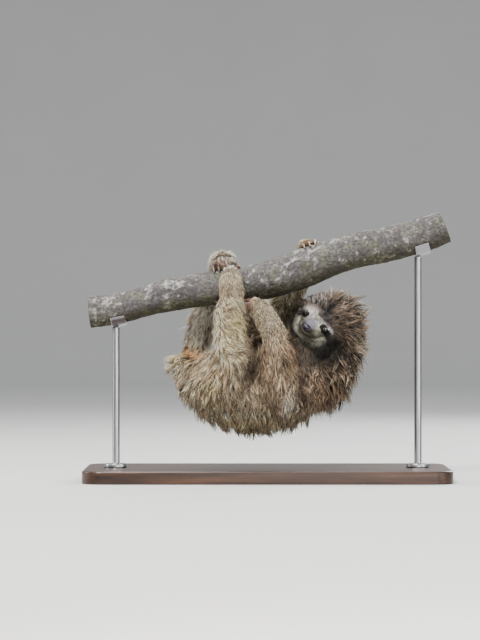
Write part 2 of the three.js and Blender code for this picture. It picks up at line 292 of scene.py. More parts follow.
def new_mesh(name, points, faces):
    """A smooth mesh from points in millimetres and an array of triangles."""
    mesh = bpy.data.meshes.new(name)
    sides = faces.shape[1]
    mesh.vertices.add(len(points))
    mesh.loops.add(faces.size)
    mesh.polygons.add(len(faces))
    mesh.loops.foreach_set("vertex_index", faces.astype(np.int32).ravel())
    mesh.polygons.foreach_set("loop_start", np.arange(0, faces.size, sides, dtype=np.int32))
    set_points(mesh, points)
    mesh.polygons.foreach_set("use_smooth", np.ones(len(faces), bool))
    mesh.update(calc_edges=True)
    return mesh


def new_piece(name, mesh, material, replaces=()):
    piece = placed(name, mesh)
    mesh.materials.clear()
    mesh.materials.append(material)
    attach(piece, "root")
    if replaces:
        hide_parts(*replaces)
    return piece


def solid_piece(name, shape, material, slot, node=None, **layers):
    """A closed shape as a piece. Each layer is a value for each of its points."""
    points, triangles = shape
    mesh = new_mesh(name, points, outward(points - points.mean(0), triangles))
    for layer, values in layers.items():
        floats = mesh.attributes.new(layer, "FLOAT", "POINT")
        floats.data.foreach_set("value", values.astype(np.float32))
    return new_piece(name, mesh, material, [node] if node else ())


def paint(mesh, name, colours):
    """Linear colours on a mesh's points."""
    layer = mesh.color_attributes.new(name, "FLOAT_COLOR", "POINT")
    values = np.ones((len(colours), 4), np.float32)
    values[:, :3] = colours
    layer.data.foreach_set("color", values.ravel())


def tube(rings, closed_ends=True):
    """Points and triangles of a tube, from an array of rings of points. Its ends' middles come last."""
    steps, sides = rings.shape[:2]
    points = rings.reshape(-1, 3)
    here = np.arange(sides)
    beside = (here + 1) % sides
    start = np.arange(steps - 1)[:, None] * sides
    a, b = (start + here).ravel(), (start + beside).ravel()
    triangles = [[a, b, b + sides], [a, b + sides, a + sides]]
    if closed_ends:
        middle, last = len(points), (steps - 1) * sides
        points = np.concatenate([points, [rings[0].mean(0), rings[-1].mean(0)]])
        triangles.append([np.full(sides, middle), beside, here])
        triangles.append([np.full(sides, middle + 1), last + here, last + beside])
    return points, np.concatenate([np.stack(corners, 1) for corners in triangles])


def lathe(profile, centre, sides=56, closed_ends=True):
    """A profile of radii and heights, turned round an upright axis at x = `centre`."""
    turn = turns(sides)
    rings = [[(centre + r * math.cos(a), r * math.sin(a), z) for a in turn] for r, z in profile]
    return tube(np.array(rings), closed_ends)


def outward(points, triangles):
    """The triangles, turned so that they face out of the closed shape."""
    corners = points[triangles]
    volume = np.einsum("ij,ij->i", corners[:, 0], np.cross(corners[:, 1], corners[:, 2])).sum()
    return triangles if volume > 0 else triangles[:, ::-1]


def fractal(points, size, octaves=4, seed=0):
    """Fractal noise of about -1 to 1 at points in millimetres."""
    shift = Vector((13.7 * seed, 5.1 * seed, 29.3 * seed))
    return np.array(
        [noise.fractal(Vector(p) / size + shift, 0.8, 2.0, octaves) for p in points.tolist()]
    )


# ---- The branch's line, as in the solids ----

BRANCH_LENGTH = 390


def branch_height(x):
    sway = 3 * np.cos(2 * np.pi * (x - 85) / 180)
    return 223 + 0.24 * x + 0.00029 * x * x + sway


def branch_slope(x):
    return (branch_height(x + 1) - branch_height(x - 1)) / 2


def branch_radius(x):
    return 17.8 + 0.003 * x + 3.2 * bell((x - 25) / 85)


def around_branch(x, angle, distance):
    """A point beside the branch. The angle is in degrees: 0 at the front, 90 on top, 180 behind."""
    x, angle, distance = np.broadcast_arrays(*[np.asarray(v, float) for v in (x, angle, distance)])
    reach = branch_radius(x) + distance
    turn = np.radians(angle)
    lean = unit(np.stack([-branch_slope(x), 0 * x, 1 + 0 * x], -1))
    point = np.stack([x, -reach * np.cos(turn), branch_height(x)], -1)
    return point + lean * (reach * np.sin(turn))[..., None]


# ---- The head's own axes and form, as in the solids ----

HEAD_CENTRE = np.array([58.5, -8.0, 169.5])
YAW, ROLL = math.radians(30), math.radians(38.5)
FACING = np.array([-math.sin(YAW), -math.cos(YAW), 0.0])
LEVEL = np.array([math.cos(YAW), -math.sin(YAW), 0.0])
UP = np.array([0.0, 0.0, 1.0])
HEAD_AXES = np.array(
    [
        LEVEL * math.cos(ROLL) - UP * math.sin(ROLL),  # to its left
        LEVEL * math.sin(ROLL) + UP * math.cos(ROLL),  # up through the crown
        FACING,  # out of the face
    ]
)
HEAD_MASSES = [
    [[2, 8, -13], [39, 36, 31]],  # crown and nape, to the tips of the fur
    [[9.5, 1, 5], [17, 20, 18]],  # left of the face, round the eye
    [[-9.5, 1, 5], [17, 20, 18]],
    [[0, 14, 11], [19, 9, 11]],  # brow
    [[13, -11, 10], [12, 12, 11]],  # left cheek
    [[-13, -11, 10], [12, 12, 11]],
    [[0, -6, 16], [13, 11, 14]],  # muzzle
    [[0, -15, 12], [11, 8, 12]],  # chin
]
MASS_BLEND = 1.7
EYE_PLACE = np.array([14.5, 6.0])  # sideways and up
EYE_RADIUS = 4.2
EYE_PROUD = 1.1
LID_OPENING = math.radians(34)
LID_THICK = 0.75
NOSE_PLACE = np.array([0.0, -1.8, 29.2])
NOSE_SIZE = np.array([7.0, 3.4, 3.5])


def to_head(points):
    return (points - HEAD_CENTRE) @ HEAD_AXES.T


def from_head(local):
    return local @ HEAD_AXES + HEAD_CENTRE


def outside_head(local):
    total = 0
    for centre, radii in HEAD_MASSES:
        away = (np.linalg.norm((local - centre) / radii, axis=-1) - 1) * min(radii)
        total = total + np.exp(-away / MASS_BLEND)
    return -MASS_BLEND * np.log(total)


def halved(start, direction, low, high):
    """How far along each direction the head's surface lies, found by halving."""
    low, high = np.full(len(direction), low, float), np.full(len(direction), high, float)
    for _ in range(24):
        middle = (low + high) / 2
        inside = outside_head(start + direction * middle[:, None]) < 0
        low, high = np.where(inside, middle, low), np.where(inside, high, middle)
    return low


def face_point(x, y):
    """The point of the face straight in front of a place in the head's own plane."""
    start = np.array([[x, y, 0.0]])
    return start[0] + [0, 0, halved(start, np.array([[0, 0, 1.0]]), 0, 45)[0]]


def face_normal(x, y):
    here, right, top = face_point(x, y), face_point(x + 1, y), face_point(x, y + 1)
    return unit(np.cross(right - here, top - here))


def eye(side):
    """An eye's centre and the way it looks, in the head's own axes."""
    x, y = side * EYE_PLACE[0], EYE_PLACE[1]
    centre = face_point(x, y) + [0, 0, EYE_PROUD - EYE_RADIUS]
    return centre, unit(face_normal(x, y) + [0, 0, 0.6])


EYES = [eye(side) for side in (1, -1)]


# ---- The skin ----

# By node: the coat's depth, how even its deep tufts are with those over them, which lessens their painted
# shade, and then the tufts' length, width, lift in degrees, number to a square millimetre, clumping and
# droop.
COAT = {
    "head": (12, 0, 21, 0.74, 42, 1.2, 0.85, 0.08),
    "trunk": (12, 0, 26, 1.00, 25, 0.86, 0.92, 0.22),
    "neck": (13, 0, 25, 0.82, 44, 1.0, 0.88, 0.12),
    "tail": (6, 0.7, 16, 0.86, 24, 1.2, 0.8, 0.12),
    "thigh_left": (9, 0, 20, 0.90, 24, 1.1, 0.85, 0.16),
    "shank_left": (5.5, 0.2, 12, 0.70, 20, 1.8, 0.6, 0.12),
    "foot_left": (2.4, 0.5, 7, 0.62, 18, 2.3, 0.35, 0.05),
    "thigh_right": (9, 0, 19, 0.95, 28, 0.9, 0.85, 0.16),
    "shank_right": (7, 0.95, 16, 0.80, 32, 1.15, 0.6, 0.10),
    "foot_right": (2.8, 0.9, 7, 0.66, 16, 2.2, 0.3, 0.02),
    "upper_arm_left": (10, 0, 23, 0.95, 26, 0.95, 0.9, 0.18),
    "forearm_left": (6.5, 0, 18, 0.80, 20, 1.3, 0.8, 0.12),
    "hand_left": (2, 0.5, 5.5, 0.60, 24, 2.5, 0.3, 0.04),
    "upper_arm_right": (8, 0, 19, 0.95, 32, 0.9, 0.75, 0.16),
    "forearm_right": (5.5, 0.5, 15, 0.88, 34, 1.15, 0.6, 0.10),
    "hand_right": (2.4, 0.8, 7, 0.64, 20, 2.0, 0.35, 0.05),
}
FLESH = list(COAT)
COAT_DEPTH = np.array([row[0] for row in COAT.values()], float)
EVEN = np.array([row[1] for row in COAT.values()], float)
FIGURES = np.array([row[2:] for row in COAT.values()], float)
FACE_TUFT = (3.4, 0.5, 14, 2.3, 0.2, 0.0)  # the same figures for the short coat of the face
LENGTH, WIDTH, LIFT, DENSITY, CLUMP, DROOP = range(6)
FACE_DEPTH = 1.0  # the depth of that coat
VOXEL = 1.35  # the size of the skin's faces
GROWTH = 0.55  # how far the nodes grow, which closes the cuts between them
FARTHEST = 60  # how far from a node its share of the coat is looked for
NODE_BLEND = 2.5  # how softly one node's coat turns into the next one's
FACE_CONE = (math.radians(58), math.radians(88))  # from the face's axis: bare depth to full coat
BROW = ((54, -16, 199), (20, 28, 14))  # its centre and reach


def part(shares, name):
    return shares[:, FLESH.index(name)]


def remeshed(points, triangles):
    """One even mesh round all of the shapes."""
    mesh = new_mesh("shape", points, triangles)
    shape = placed("shape", mesh)
    remesh = shape.modifiers.new("remesh", "REMESH")
    remesh.mode = "VOXEL"
    remesh.voxel_size = VOXEL * MM
    evaluated = shape.evaluated_get(bpy.context.evaluated_depsgraph_get())
    result = bpy.data.meshes.new_from_object(evaluated)
    bpy.data.objects.remove(shape)
    bpy.data.meshes.remove(mesh)
    return result


def joined_flesh():
    """The fleshy nodes, grown until they run into each other."""
    points, triangles, start = [], [], 0
    for name in FLESH:
        mesh = NODES[name].data
        here = mesh_points(mesh)
        corners, _ = mesh_triangles(mesh)
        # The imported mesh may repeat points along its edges, so they are merged by place.
        _, first, same = np.unique(here.round(3), axis=0, return_index=True, return_inverse=True)
        here, corners = here[first], same.ravel()[corners]
        points.append(here + GROWTH * normals_of(here, corners))
        triangles.append(corners + start)
        start += len(here)
    return np.concatenate(points), np.concatenate(triangles)


def node_shares(points):
    """How much each point belongs to each fleshy node."""
    away = []
    for name in FLESH:
        tree = surface_tree(NODES[name].data)
        found = [tree.find_nearest(Vector(p), FARTHEST)[3] for p in points.tolist()]
        away.append([distance or FARTHEST for distance in found])
    away = np.array(away).T
    share = np.exp(-(away - away.min(1, keepdims=True)) / NODE_BLEND)
    return share / share.sum(1, keepdims=True)


def from_face_axis(local):
    """The angle from the middle of the face, which grows faster up the forehead."""
    angle = np.arccos(np.clip(unit(local) @ unit(np.array([0, -0.12, 1.0])), -1, 1))
    return angle + 0.035 * np.clip(local[..., 1] - 13, 0, 14)


def coat_depth(points, shares):
    thin_brow = 7.5 * spot(points, (53, -14, 199), (20, 28, 15))
    head = part(shares, "head")
    bare = 1 - smoothstep(*FACE_CONE, from_face_axis(to_head(points)))
    return (shares @ COAT_DEPTH - thin_brow) * (1 - bare * head) + FACE_DEPTH * bare * head


def make_skin():
    """The skin, as deep under the solids' outline as the coat is, and that outline as a tree."""
    outer = remeshed(*joined_flesh())
    points, edges = mesh_points(outer), mesh_edges(outer)
    triangles, _ = mesh_triangles(outer)
    points = relaxed(points, edges, 14, 0.5, 0.52)
    shares = relaxed(node_shares(points), edges, 14)
    depth = relaxed(coat_depth(points, shares)[:, None], edges, 10)
    steps = 6
    for _ in range(steps):
        normals = relaxed(normals_of(points, triangles), edges, 3)
        points = relaxed(points - unit(normals) * depth / steps, edges, 2, 0.5, 0.5)
    points = points + nudged(points, normals_of(points, triangles), shares)
    skin = remeshed(points, triangles)
    set_points(skin, relaxed(mesh_points(skin), mesh_edges(skin), 10, 0.5, 0.52))
    refine_face(skin)
    shape_face(skin)
    return skin, surface_tree(outer)


# Where the limbs are fuller on one side than their solids less the coat: the node, the side it
# moves to, how far, and the heights between which it does.
NUDGES = [
    ("shank_left", -1, 4.0, 140, 192),
    ("shank_left", -1, 3.0, 180, 215),
    ("foot_left", -1, 2.5, 196, 222),
    ("foot_left", 1, 1.0, 196, 222),
    ("shank_left", 1, 2.0, 170, 205),
    ("shank_right", 1, 5.0, 150, 205),
    ("hand_left", -1, 2.5, 165, 200),
    ("forearm_left", -1, 3.5, 120, 185),
    ("upper_arm_right", 1, 3.0, 165, 200),
    ("forearm_right", 1, 4.0, 175, 225),
]


def nudged(points, normals, shares):
    """How far each point of the skin moves."""
    move, z = np.zeros_like(points), points[:, 2]
    for name, side, far, low, high in NUDGES:
        here = smoothstep(low - 12, low + 6, z) * (1 - smoothstep(high - 6, high + 12, z))
        facing = smoothstep(-0.9, 0.7, normals[:, 0] * side)
        move[:, 0] += side * far * here * facing * part(shares, name)
    return move


def refine_face(skin):
    """Splits the faces of the animal's face into smaller ones."""
    form = bmesh.new()
    form.from_mesh(skin)
    points = np.array([v.co for v in form.verts]) / MM
    local = to_head(points)
    near = (from_face_axis(local) < FACE_CONE[0] * 1.05) & (np.linalg.norm(local, axis=1) < 48)
    edges = [e for e in form.edges if near[e.verts[0].index] and near[e.verts[1].index]]
    bmesh.ops.subdivide_edges(form, edges=edges, cuts=2, use_grid_fill=True)
    form.to_mesh(skin)
    form.free()


def mouth_line(x):
    return -10.6 + 0.025 * x * x


def face_relief(local):
    """How far the skin stands out from the face's plain form."""
    x, y, z = local.T
    relief = np.zeros(len(local))
    gap = y - mouth_line(x)
    front = smoothstep(8, 14, z)
    mouth = (1 - smoothstep(14, 17.5, np.abs(x))) * front
    relief -= 0.8 * mouth * bell(gap / 1.1)
    relief += 0.2 * mouth * bell((gap - 3.0) / 2.2)
    relief += 0.3 * mouth * bell((gap + 3.0) / 2.2)
    for side in (1, -1):
        relief -= 0.8 * front * bell(np.hypot(x - side * 17, y - mouth_line(17)) / 2.2)
        around_eye = np.hypot(x - side * EYE_PLACE[0], y - EYE_PLACE[1])
        relief -= 1.5 * front * bell((around_eye - 7.5) / 3.2)
        relief -= 0.6 * front * bell(np.hypot(x - side * 8.2, y + 2.6) / 2.2)
    nose = np.hypot(x / 7.6, (y - NOSE_PLACE[1]) / 5.4)
    relief -= 0.7 * front * bell((nose - 1) / 0.16)
    return relief + 0.25 * front * np.sin(y * 2.2) * bell(np.hypot(x / 5, (y - 8.5) / 3.5))


def shape_face(skin):
    """Fits the front of the head to its form, with its lids, mouth and folds."""
    points = mesh_points(skin)
    local = to_head(points)
    angle = from_face_axis(local)
    near = (angle < FACE_CONE[1]) & (np.linalg.norm(local, axis=1) < 50)
    front = local[near]
    share = 1 - smoothstep(FACE_CONE[0] * 0.96, FACE_CONE[0] * 1.25, angle[near])
    way = unit(front)
    reach = halved(np.zeros(3), way, 10, 70) - 1.0
    fitted = way * reach[:, None]
    fitted += way * face_relief(fitted)[:, None]
    for centre, look in EYES:
        out = fitted - centre
        distance = np.linalg.norm(out, axis=1)
        turn = np.arccos(np.clip(unit(out) @ look, -1, 1))
        ball = 1 - smoothstep(EYE_RADIUS + 2.2, EYE_RADIUS + 5.0, distance)
        opening = 1 - smoothstep(LID_OPENING * 0.9, LID_OPENING * 1.1, turn)
        rim = bell((turn - LID_OPENING * 1.28) / 0.3)
        target = np.maximum(distance, EYE_RADIUS + 0.2)
        target = np.maximum(target * 0.6 + (EYE_RADIUS + LID_THICK) * 0.4, EYE_RADIUS + 0.15)
        target += 0.35 * rim
        target = target * (1 - opening) + (EYE_RADIUS - 0.9) * opening
        lid = ball * np.maximum(opening, np.clip(1.5 - turn, 0, 1))
        fitted = centre + unit(out) * (distance + (target - distance) * lid)[:, None]
    local[near] = blend(front, fitted, share)
    set_points(skin, from_head(local))


# ---- Colours of the coat and skin ----

TAN = srgb(222, 196, 166)
PALE = srgb(236, 218, 190)
CREAM = srgb(250, 238, 218)
BROWN = srgb(152, 124, 100)
DARK = srgb(52, 42, 36)
BLACK_BROWN = srgb(26, 21, 19)
GREY = srgb(238, 226, 206)
OLIVE = srgb(132, 118, 84)
FAR_ARM = srgb(222, 206, 172)
ORANGE = srgb(226, 142, 74)
YELLOW = srgb(232, 208, 146)
DIGIT = srgb(232, 176, 136)
PINK = srgb(196, 116, 100)
MAUVE = srgb(168, 110, 104)
FACE_RIM = srgb(166, 163, 150)
FACE_BAND = srgb(172, 170, 168)
# FACE_OLIVE is the muzzle's olive, deepened by painted shade
FACE_OLIVE = srgb(84, 84, 68)
BARE_GREY = srgb(106, 103, 115)
FOREHEAD = srgb(172, 161, 156)
CROWN = srgb(200, 176, 150)
ROOT_SHADE = 0.2  # how light a tuft is at its root, as a share of its tip: painted shade deep in the coat

# Painted shade: places where the coat is painted darker where shade falls, deep between the limbs, round
# the
# face and over the shoulder and crown: the share of the light lost, the centre and the reach each way.
SHADES = [
    (0.92, (56, -30, 135), (30, 40, 12)),  # throat
    (0.75, (24, -22, 160), (8, 20, 22)),  # between the face and the arms
    (0.72, (-16, -20, 156), (10, 34, 34)),  # between the leg and the arm
    (0.65, (-19, -8, 184), (8, 26, 20)),
    (0.75, (-20, -46, 176), (3.5, 26, 22)),
    (0.90, (-20, -46, 121), (8, 24, 11)),
    (0.45, (-13, -46, 133), (10, 24, 17)),
    (0.75, (9, -50, 82), (5, 24, 12)),  # left of the elbow
    (0.70, (37, -46, 100), (8, 24, 22)),  # right of the forearm
    (0.65, (33, -54, 71), (8, 20, 10)),  # and of the elbow
    (0.85, (72, -28, 146), (12, 22, 13)),  # under the far corner of the eye
    (0.72, (66, -30, 185), (9, 18, 13)),  # over the middle of the brow
    (0.80, (33, -30, 147), (9, 30, 17)),  # between the forearm and the chin
    (0.45, (66, -24, 112), (30, 50, 26)),  # shoulder
    (0.42, (90, -14, 174), (30, 44, 36)),  # crown
]
# Patches of another colour: the colour, its share, the centre and the reach each way.
TINTS = [
    (OLIVE, 0.6, (20, -62, 125), (9, 26, 12)),
    # painted highlight on the elbow tuft
    (CREAM, 0.75, (24, -60, 84), (8, 20, 14)),
    (ORANGE, 0.07, (25, -55, 143), (8, 26, 20)),
    (YELLOW, 0.3, (-36, -54, 165), (20, 26, 34)),
    (ORANGE, 0.1, (-56, -50, 110), (12, 30, 16)),
    (ORANGE, 1.0, (-84, -14, 139), (12, 60, 8)),
    (ORANGE, 0.4, (-97, -14, 143), (12, 60, 6)),
    (YELLOW, 0.4, (-98, -4, 136), (11, 34, 10)),
    (YELLOW, 0.5, (-31, -54, 171), (6, 26, 12)),
    (PINK, 0.9, (-20, -46, 193), (3, 26, 8)),
    (PALE, 0.6, (-54, -54, 192), (8, 26, 16)),
    (CREAM, 0.9, (-45, 10, 245), (30, 34, 14)),
    (YELLOW, 0.4, (-48, 5, 254), (22, 34, 8)),
    (MAUVE, 0.8, (-56, -5, 238), (1.4, 12, 6)),
    (MAUVE, 0.8, (-51, -5, 239), (1.4, 12, 6)),
    (MAUVE, 0.8, (-46, -5, 240), (1.4, 12, 6)),
    (DIGIT, 0.6, (54, 20, 262), (20, 30, 16)),
    (FOREHEAD, 1.0, (54, -16, 199), (19, 28, 13)),
    (FOREHEAD, 0.6, (68, -30, 182), (12, 20, 9)),
    (YELLOW, 0.3, (-60, -40, 98), (10, 30, 14)),
    (ORANGE, 0.12, (66, -40, 100), (26, 40, 16)),
    (YELLOW, 0.35, (-22, -30, 60), (56, 70, 13)),
]


def face_disc(local):
    """None at the middle of the lower face, one at its edge and more beyond."""
    x, y, _ = local.T
    return (np.abs(x) / 22) ** 2.6 + (np.abs(np.minimum(y + 2, 0)) / 19) ** 2.6


def face_colour(local):
    """The face's markings, in the head's own axes."""
    x, y, z = local.T
    side = np.abs(x)
    patches, notches = fractal(local, 5, 3, 7), fractal(local * [1, 0.4, 0.4], 2.6, 2, 9)
    disc = face_disc(local)
    rim = smoothstep(0.15, 0.6, disc) * smoothstep(2, -5, y) * np.where(x < 4, 1.0, 0.4)
    above = y - (10.2 - 0.006 * x * x + 1.3 * patches + 1.2 * notches)  # over the pale band's middle
    band = 1 - smoothstep(0.6, 1.3, np.abs(above) / (3.9 - 0.03 * side))
    band = band * (1 - smoothstep(27, 34, side))
    mottled = FACE_BAND * (1.02 + 0.7 * notches + 0.5 * patches)[:, None]
    over = smoothstep(2.5, 5.0, above + 2 * patches)
    streaked = smoothstep(-8, 2, x) * over * (0.75 + 0.9 * notches)
    bare = np.hypot((x + 2) / 10.5, (y - 3.0) / 5.4) + 0.25 * patches
    # The lower face starts from FACE_OLIVE, the muzzle's olive deepened by painted shade; the upper face
    # and the rim are paler.
    colour = layered(
        FACE_OLIVE,
        (FACE_RIM, np.clip(rim + 0.35 * patches, 0, 1)),
        (FACE_RIM, smoothstep(-2, 6, y)),
        # dark fur round the face, deepened as painted shade where the face meets the coat
        (BLACK_BROWN, 0.95 * smoothstep(0.9, 1.35, disc)),
        (mottled, np.clip(band * (0.85 + 0.6 * patches), 0, 1)),
        (FOREHEAD, over),
        (DARK, np.clip(streaked, 0, 0.9)),
        (BARE_GREY, 0.85 * (1 - smoothstep(0.55, 1.15, bare))),
        (BLACK_BROWN, eye_stripe(x, y, patches)),
    )
    # Painted shade on the jowl.
    jowl_shade = spot(local, (15, -8.5, 15), (8, 4.5, 12))
    # Painted shade along the mouth's crease and under the nose.
    lips = 1 - smoothstep(0.3, 3.2, np.abs(y - mouth_line(x)))
    lips = lips * (1 - smoothstep(12, 18, side))
    shade_under_nose = np.hypot((x - 1) / 11, (y + 6.8) / 5.2) + 0.2 * patches
    return layered(
        colour * (1 - 0.35 * jowl_shade)[:, None],
        (DARK, 0.5 * lips * smoothstep(8, 12, z)),
        (DARK, 0.62 * (1 - smoothstep(0.5, 1.2, shade_under_nose)) * (z > 12)),
    )


def eye_stripe(x, y, patches):
    """The dark stripe through each eye, longer on the near side."""
    right, up = np.abs(x) - EYE_PLACE[0], y - EYE_PLACE[1]
    slant = 0.907, 0.421  # the cosine and sine of its slope
    along, across = right * slant[0] - up * slant[1], right * slant[1] + up * slant[0]
    wide = 3.4 + 0.1 * np.clip(along, 0, 40) + 1.4 * patches
    start, length = np.where(x > 0, -6.8, -5.4), np.where(x > 0, 26, 12)
    blunt = np.minimum(along - start - 3.5, 0) / 3.5
    stripe = 1 - smoothstep(0.8, 1.1, np.hypot(across / wide, blunt))
    return stripe * (1 - smoothstep(length, length + 7, along))


def coat_colour(points, shares):
    """The coat's colour at its tips, by place, darkened off the face by the painted shade of SHADES."""
    of = dict(zip(FLESH, shares.T))
    patches, fine = fractal(points, 26, 3, 3), fractal(points, 7, 2, 4)
    near_leg = of["shank_left"] + of["hand_left"] + of["foot_left"]
    # Painted light: the far leg and arm are painted paler on their sides towards the front, to lift them
    # out of the shade that the branch and near limbs cast.
    inner = 1 - 0.7 * smoothstep(28, 48, points[:, 1])
    far_leg = (of["shank_right"] + of["thigh_right"]) * inner
    far_arm = (of["forearm_right"] + 0.8 * of["upper_arm_right"]) * inner
    brown = 0.3 * of["upper_arm_left"] + 0.5 * of["forearm_left"] + 0.5 * of["neck"]
    brown = brown + 0.4 * of["trunk"] * smoothstep(0, 60, points[:, 0])
    local = to_head(points)
    angle = from_face_axis(local)
    low = smoothstep(10, -8, local[:, 1])
    crown = layered(
        CROWN,
        (BROWN, np.clip(0.25 + 0.6 * patches, 0, 0.8)),
        # dark fur under the face, deepened as painted shade under the chin
        (BLACK_BROWN, 0.9 * low * (1 - smoothstep(1.6, 2.2, angle))),
    )
    head = np.clip(1.6 * of["head"] - 0.3, 0, 1)
    colour = layered(
        TAN,
        (BROWN, np.clip(0.2 + 0.5 * patches, 0, 0.5)),
        (PALE, np.clip(0.1 + 0.6 * fine, 0, 0.5)),
        (PALE, np.clip(0.3 * near_leg + 0.5 * of["foot_right"] + 0.5 * of["tail"], 0, 1)),
        # painted light on the front of the far leg and arm
        (GREY, np.clip(0.8 * far_leg, 0, 1)),
        (FAR_ARM, np.clip(0.9 * far_arm, 0, 1)),
        (YELLOW, 0.5 * of["hand_right"]),
        (BROWN, np.clip(brown, 0, 1)),
        (crown, head),
        *((tint, share * spot(points, centre, reach)) for tint, share, centre, reach in TINTS),
        (face_colour(local), (1 - smoothstep(0.95, 1.4, angle)) * head),
    )
    # The painted shade of SHADES, which the face is spared.
    light = np.ones(len(points))
    for lost, centre, reach in SHADES:
        light *= 1 - lost * spot(points, centre, reach)
    on_face = (1 - smoothstep(0.8, 1.1, angle)) * of["head"]
    return colour * (light + (1 - light) * on_face)[:, None]


# ---- The coat ----

# Where the coat differs from its node's: the centre, the reach and what is added to the figures.
ALTERED = [
    ((-17, 0, 158), (11, 34, 18), {LENGTH: 26}),  # belly fur that fills the space between limbs
    ((-17, 0, 158), (12, 34, 18), {LIFT: 50, WIDTH: 0.4}),
    ((22, -52, 82), (12, 22, 14), {LENGTH: 7}),  # elbow
    ((20, 30, 195), (14, 40, 22), {LIFT: 14}),
    ((37, 2, 190), (10, 18, 18), {LENGTH: 8, LIFT: 22}),  # the ruff on the far side of the face
    ((30, 42, 192), (12, 24, 24), {LENGTH: 8, LIFT: 22}),  # and the far arm beside it
    (*BROW, {LENGTH: -16, CLUMP: -0.6, WIDTH: -0.25}),
    ((66, -30, 179), (9, 20, 9), {LENGTH: 5, CLUMP: 0.6, LIFT: 14}),  # streaks over the near eye
    ((84, -20, 108), (34, 60, 34), {LIFT: 14}),  # the back stands out
    ((-39, -40, 224), (12, 14, 7), {LENGTH: 3}),  # over the claws of the near foot
    ((-10, -46, 197), (8, 16, 8), {LENGTH: 2}),  # and of the near hand
    ((-50, -4, 234), (24, 10, 8), {LENGTH: 5}),  # down to the branch round the far claws
    ((46, 0, 256), (18, 12, 8), {LENGTH: 4}),
    ((2, -50, 171), (18, 24, 13), {LENGTH: -9}),  # near wrist
    ((-24, -44, 187), (7, 20, 13), {LENGTH: 5, LIFT: 26}),  # from the near leg towards the hand
    ((-94, 0, 138), (14, 26, 8), {LIFT: 22}),  # tail
    ((-46, 10, 246), (20, 34, 12), {LENGTH: 2, LIFT: 7}),  # far foot
]
# Where tips may stand farther beyond the solids' outline than elsewhere: how much farther, the
# centre and the reach.
REACHES = [
    (46, (-17, 0, 162), (12, 34, 24)),
    (1.5, (-11, -46, 197), (9, 16, 8)),
    (4, (-56, -40, 168), (8, 30, 18)),
    (3, (-12, -50, 180), (8, 16, 22)),
    (6, (22, -52, 74), (10, 20, 12)),
    (-7, (-91, 40, 178), (9, 40, 22)),
    (9, (36, 15, 190), (12, 45, 22)),
    (3, (46, -5, 205), (12, 24, 12)),
    (4, (-38, -36, 222), (12, 20, 9)),
    (5, (-24, -44, 187), (8, 22, 14)),
    (5, (-94, 0, 139), (14, 26, 9)),
    (2.5, (-46, 10, 246), (22, 36, 14)),
]
# Single long hairs that stand out in the photograph: where from, which way and how long.
WISPS = [
    ((-82, 30, 168), (-1, 0, 0.2), 20),
    ((-80, 30, 182), (-0.9, 0, 0.5), 15),
    ((-92, -10, 100), (-1, 0, 0.1), 14),
    ((104, -10, 150), (0.9, 0, -0.45), 24),
    ((102, -10, 138), (0.85, 0, -0.5), 22),
    ((102, 34, 122), (0.8, 0, -0.6), 17),
    ((96, 34, 104), (0.7, 0, -0.75), 17),
    ((60, -6, 80), (0.15, 0, -1), 18),
    ((28, -40, 66), (0.35, 0, -1), 13),
    ((70, -12, 203), (0.05, 0, 1), 17),
    ((84, -12, 198), (0.45, 0, 0.85), 16),
    ((92, -12, 190), (0.75, 0, 0.6), 15),
    ((100, -12, 178), (0.95, 0, 0.3), 15),
    ((104, -10, 164), (1, 0, -0.05), 14),
]
# Locks end between these heights, as shares of the coat's depth about the solids' outline.
LOCK_LOW, LOCK_SPAN, LOCK_RARITY = -0.45, 1.15, 2.6
RAGGED = (5.0, 20.0)  # tuft lengths with an even edge, and with the most ragged
STEPS = 6  # points along a tuft's line, after its root
SHORT = 9.0  # tufts below this length have the fewest segments
SHORTEST = 3.2  # the least length of a tuft
TUFTS_TO_STRAND = 7
TUFTS_TO_LOCK = 38
PULL_REACH = 9  # how far off a tuft's guide may be
FLATNESS = 0.55  # a tuft's thickness as a share of its width
LIGHTEST = 0.92  # how light a tuft may be
WISP_SHARE = 0.1  # of the tufts are lone thin hairs
BRIGHT_SHARE = 0.55  # of them are bright strands, with the rest deep under them and painted darker as shade
RING = np.radians([90, 210, 330])  # a tuft's three sides
PATCH = 0.003  # the size of a tuft's place on the unwrap of the skin
MOST_TRIANGLES = 190_000  # to a piece of the coat

# The lie of the coat where it is the same all over a node.
LIE = {
    "tail": (-1, 0, -0.2),
    "thigh_right": (-0.35, 0, -0.9),
    "shank_right": (-0.5, 0.1, -0.85),
    "upper_arm_left": (-0.1, 0, -1),
    "upper_arm_right": (-0.3, 0, -0.95),
    "forearm_right": (-0.45, 0, -0.85),
    "hand_right": (-0.1, 0.1, -1),
}
GROIN = np.array([-18, 0, 150])
FAR_FOOT_TOP = np.array([-48, 40, 266])
ELBOW_TIP = np.array([23.5, -56, 62])
BROW_CENTRE = np.array([0, 2, 24.0])


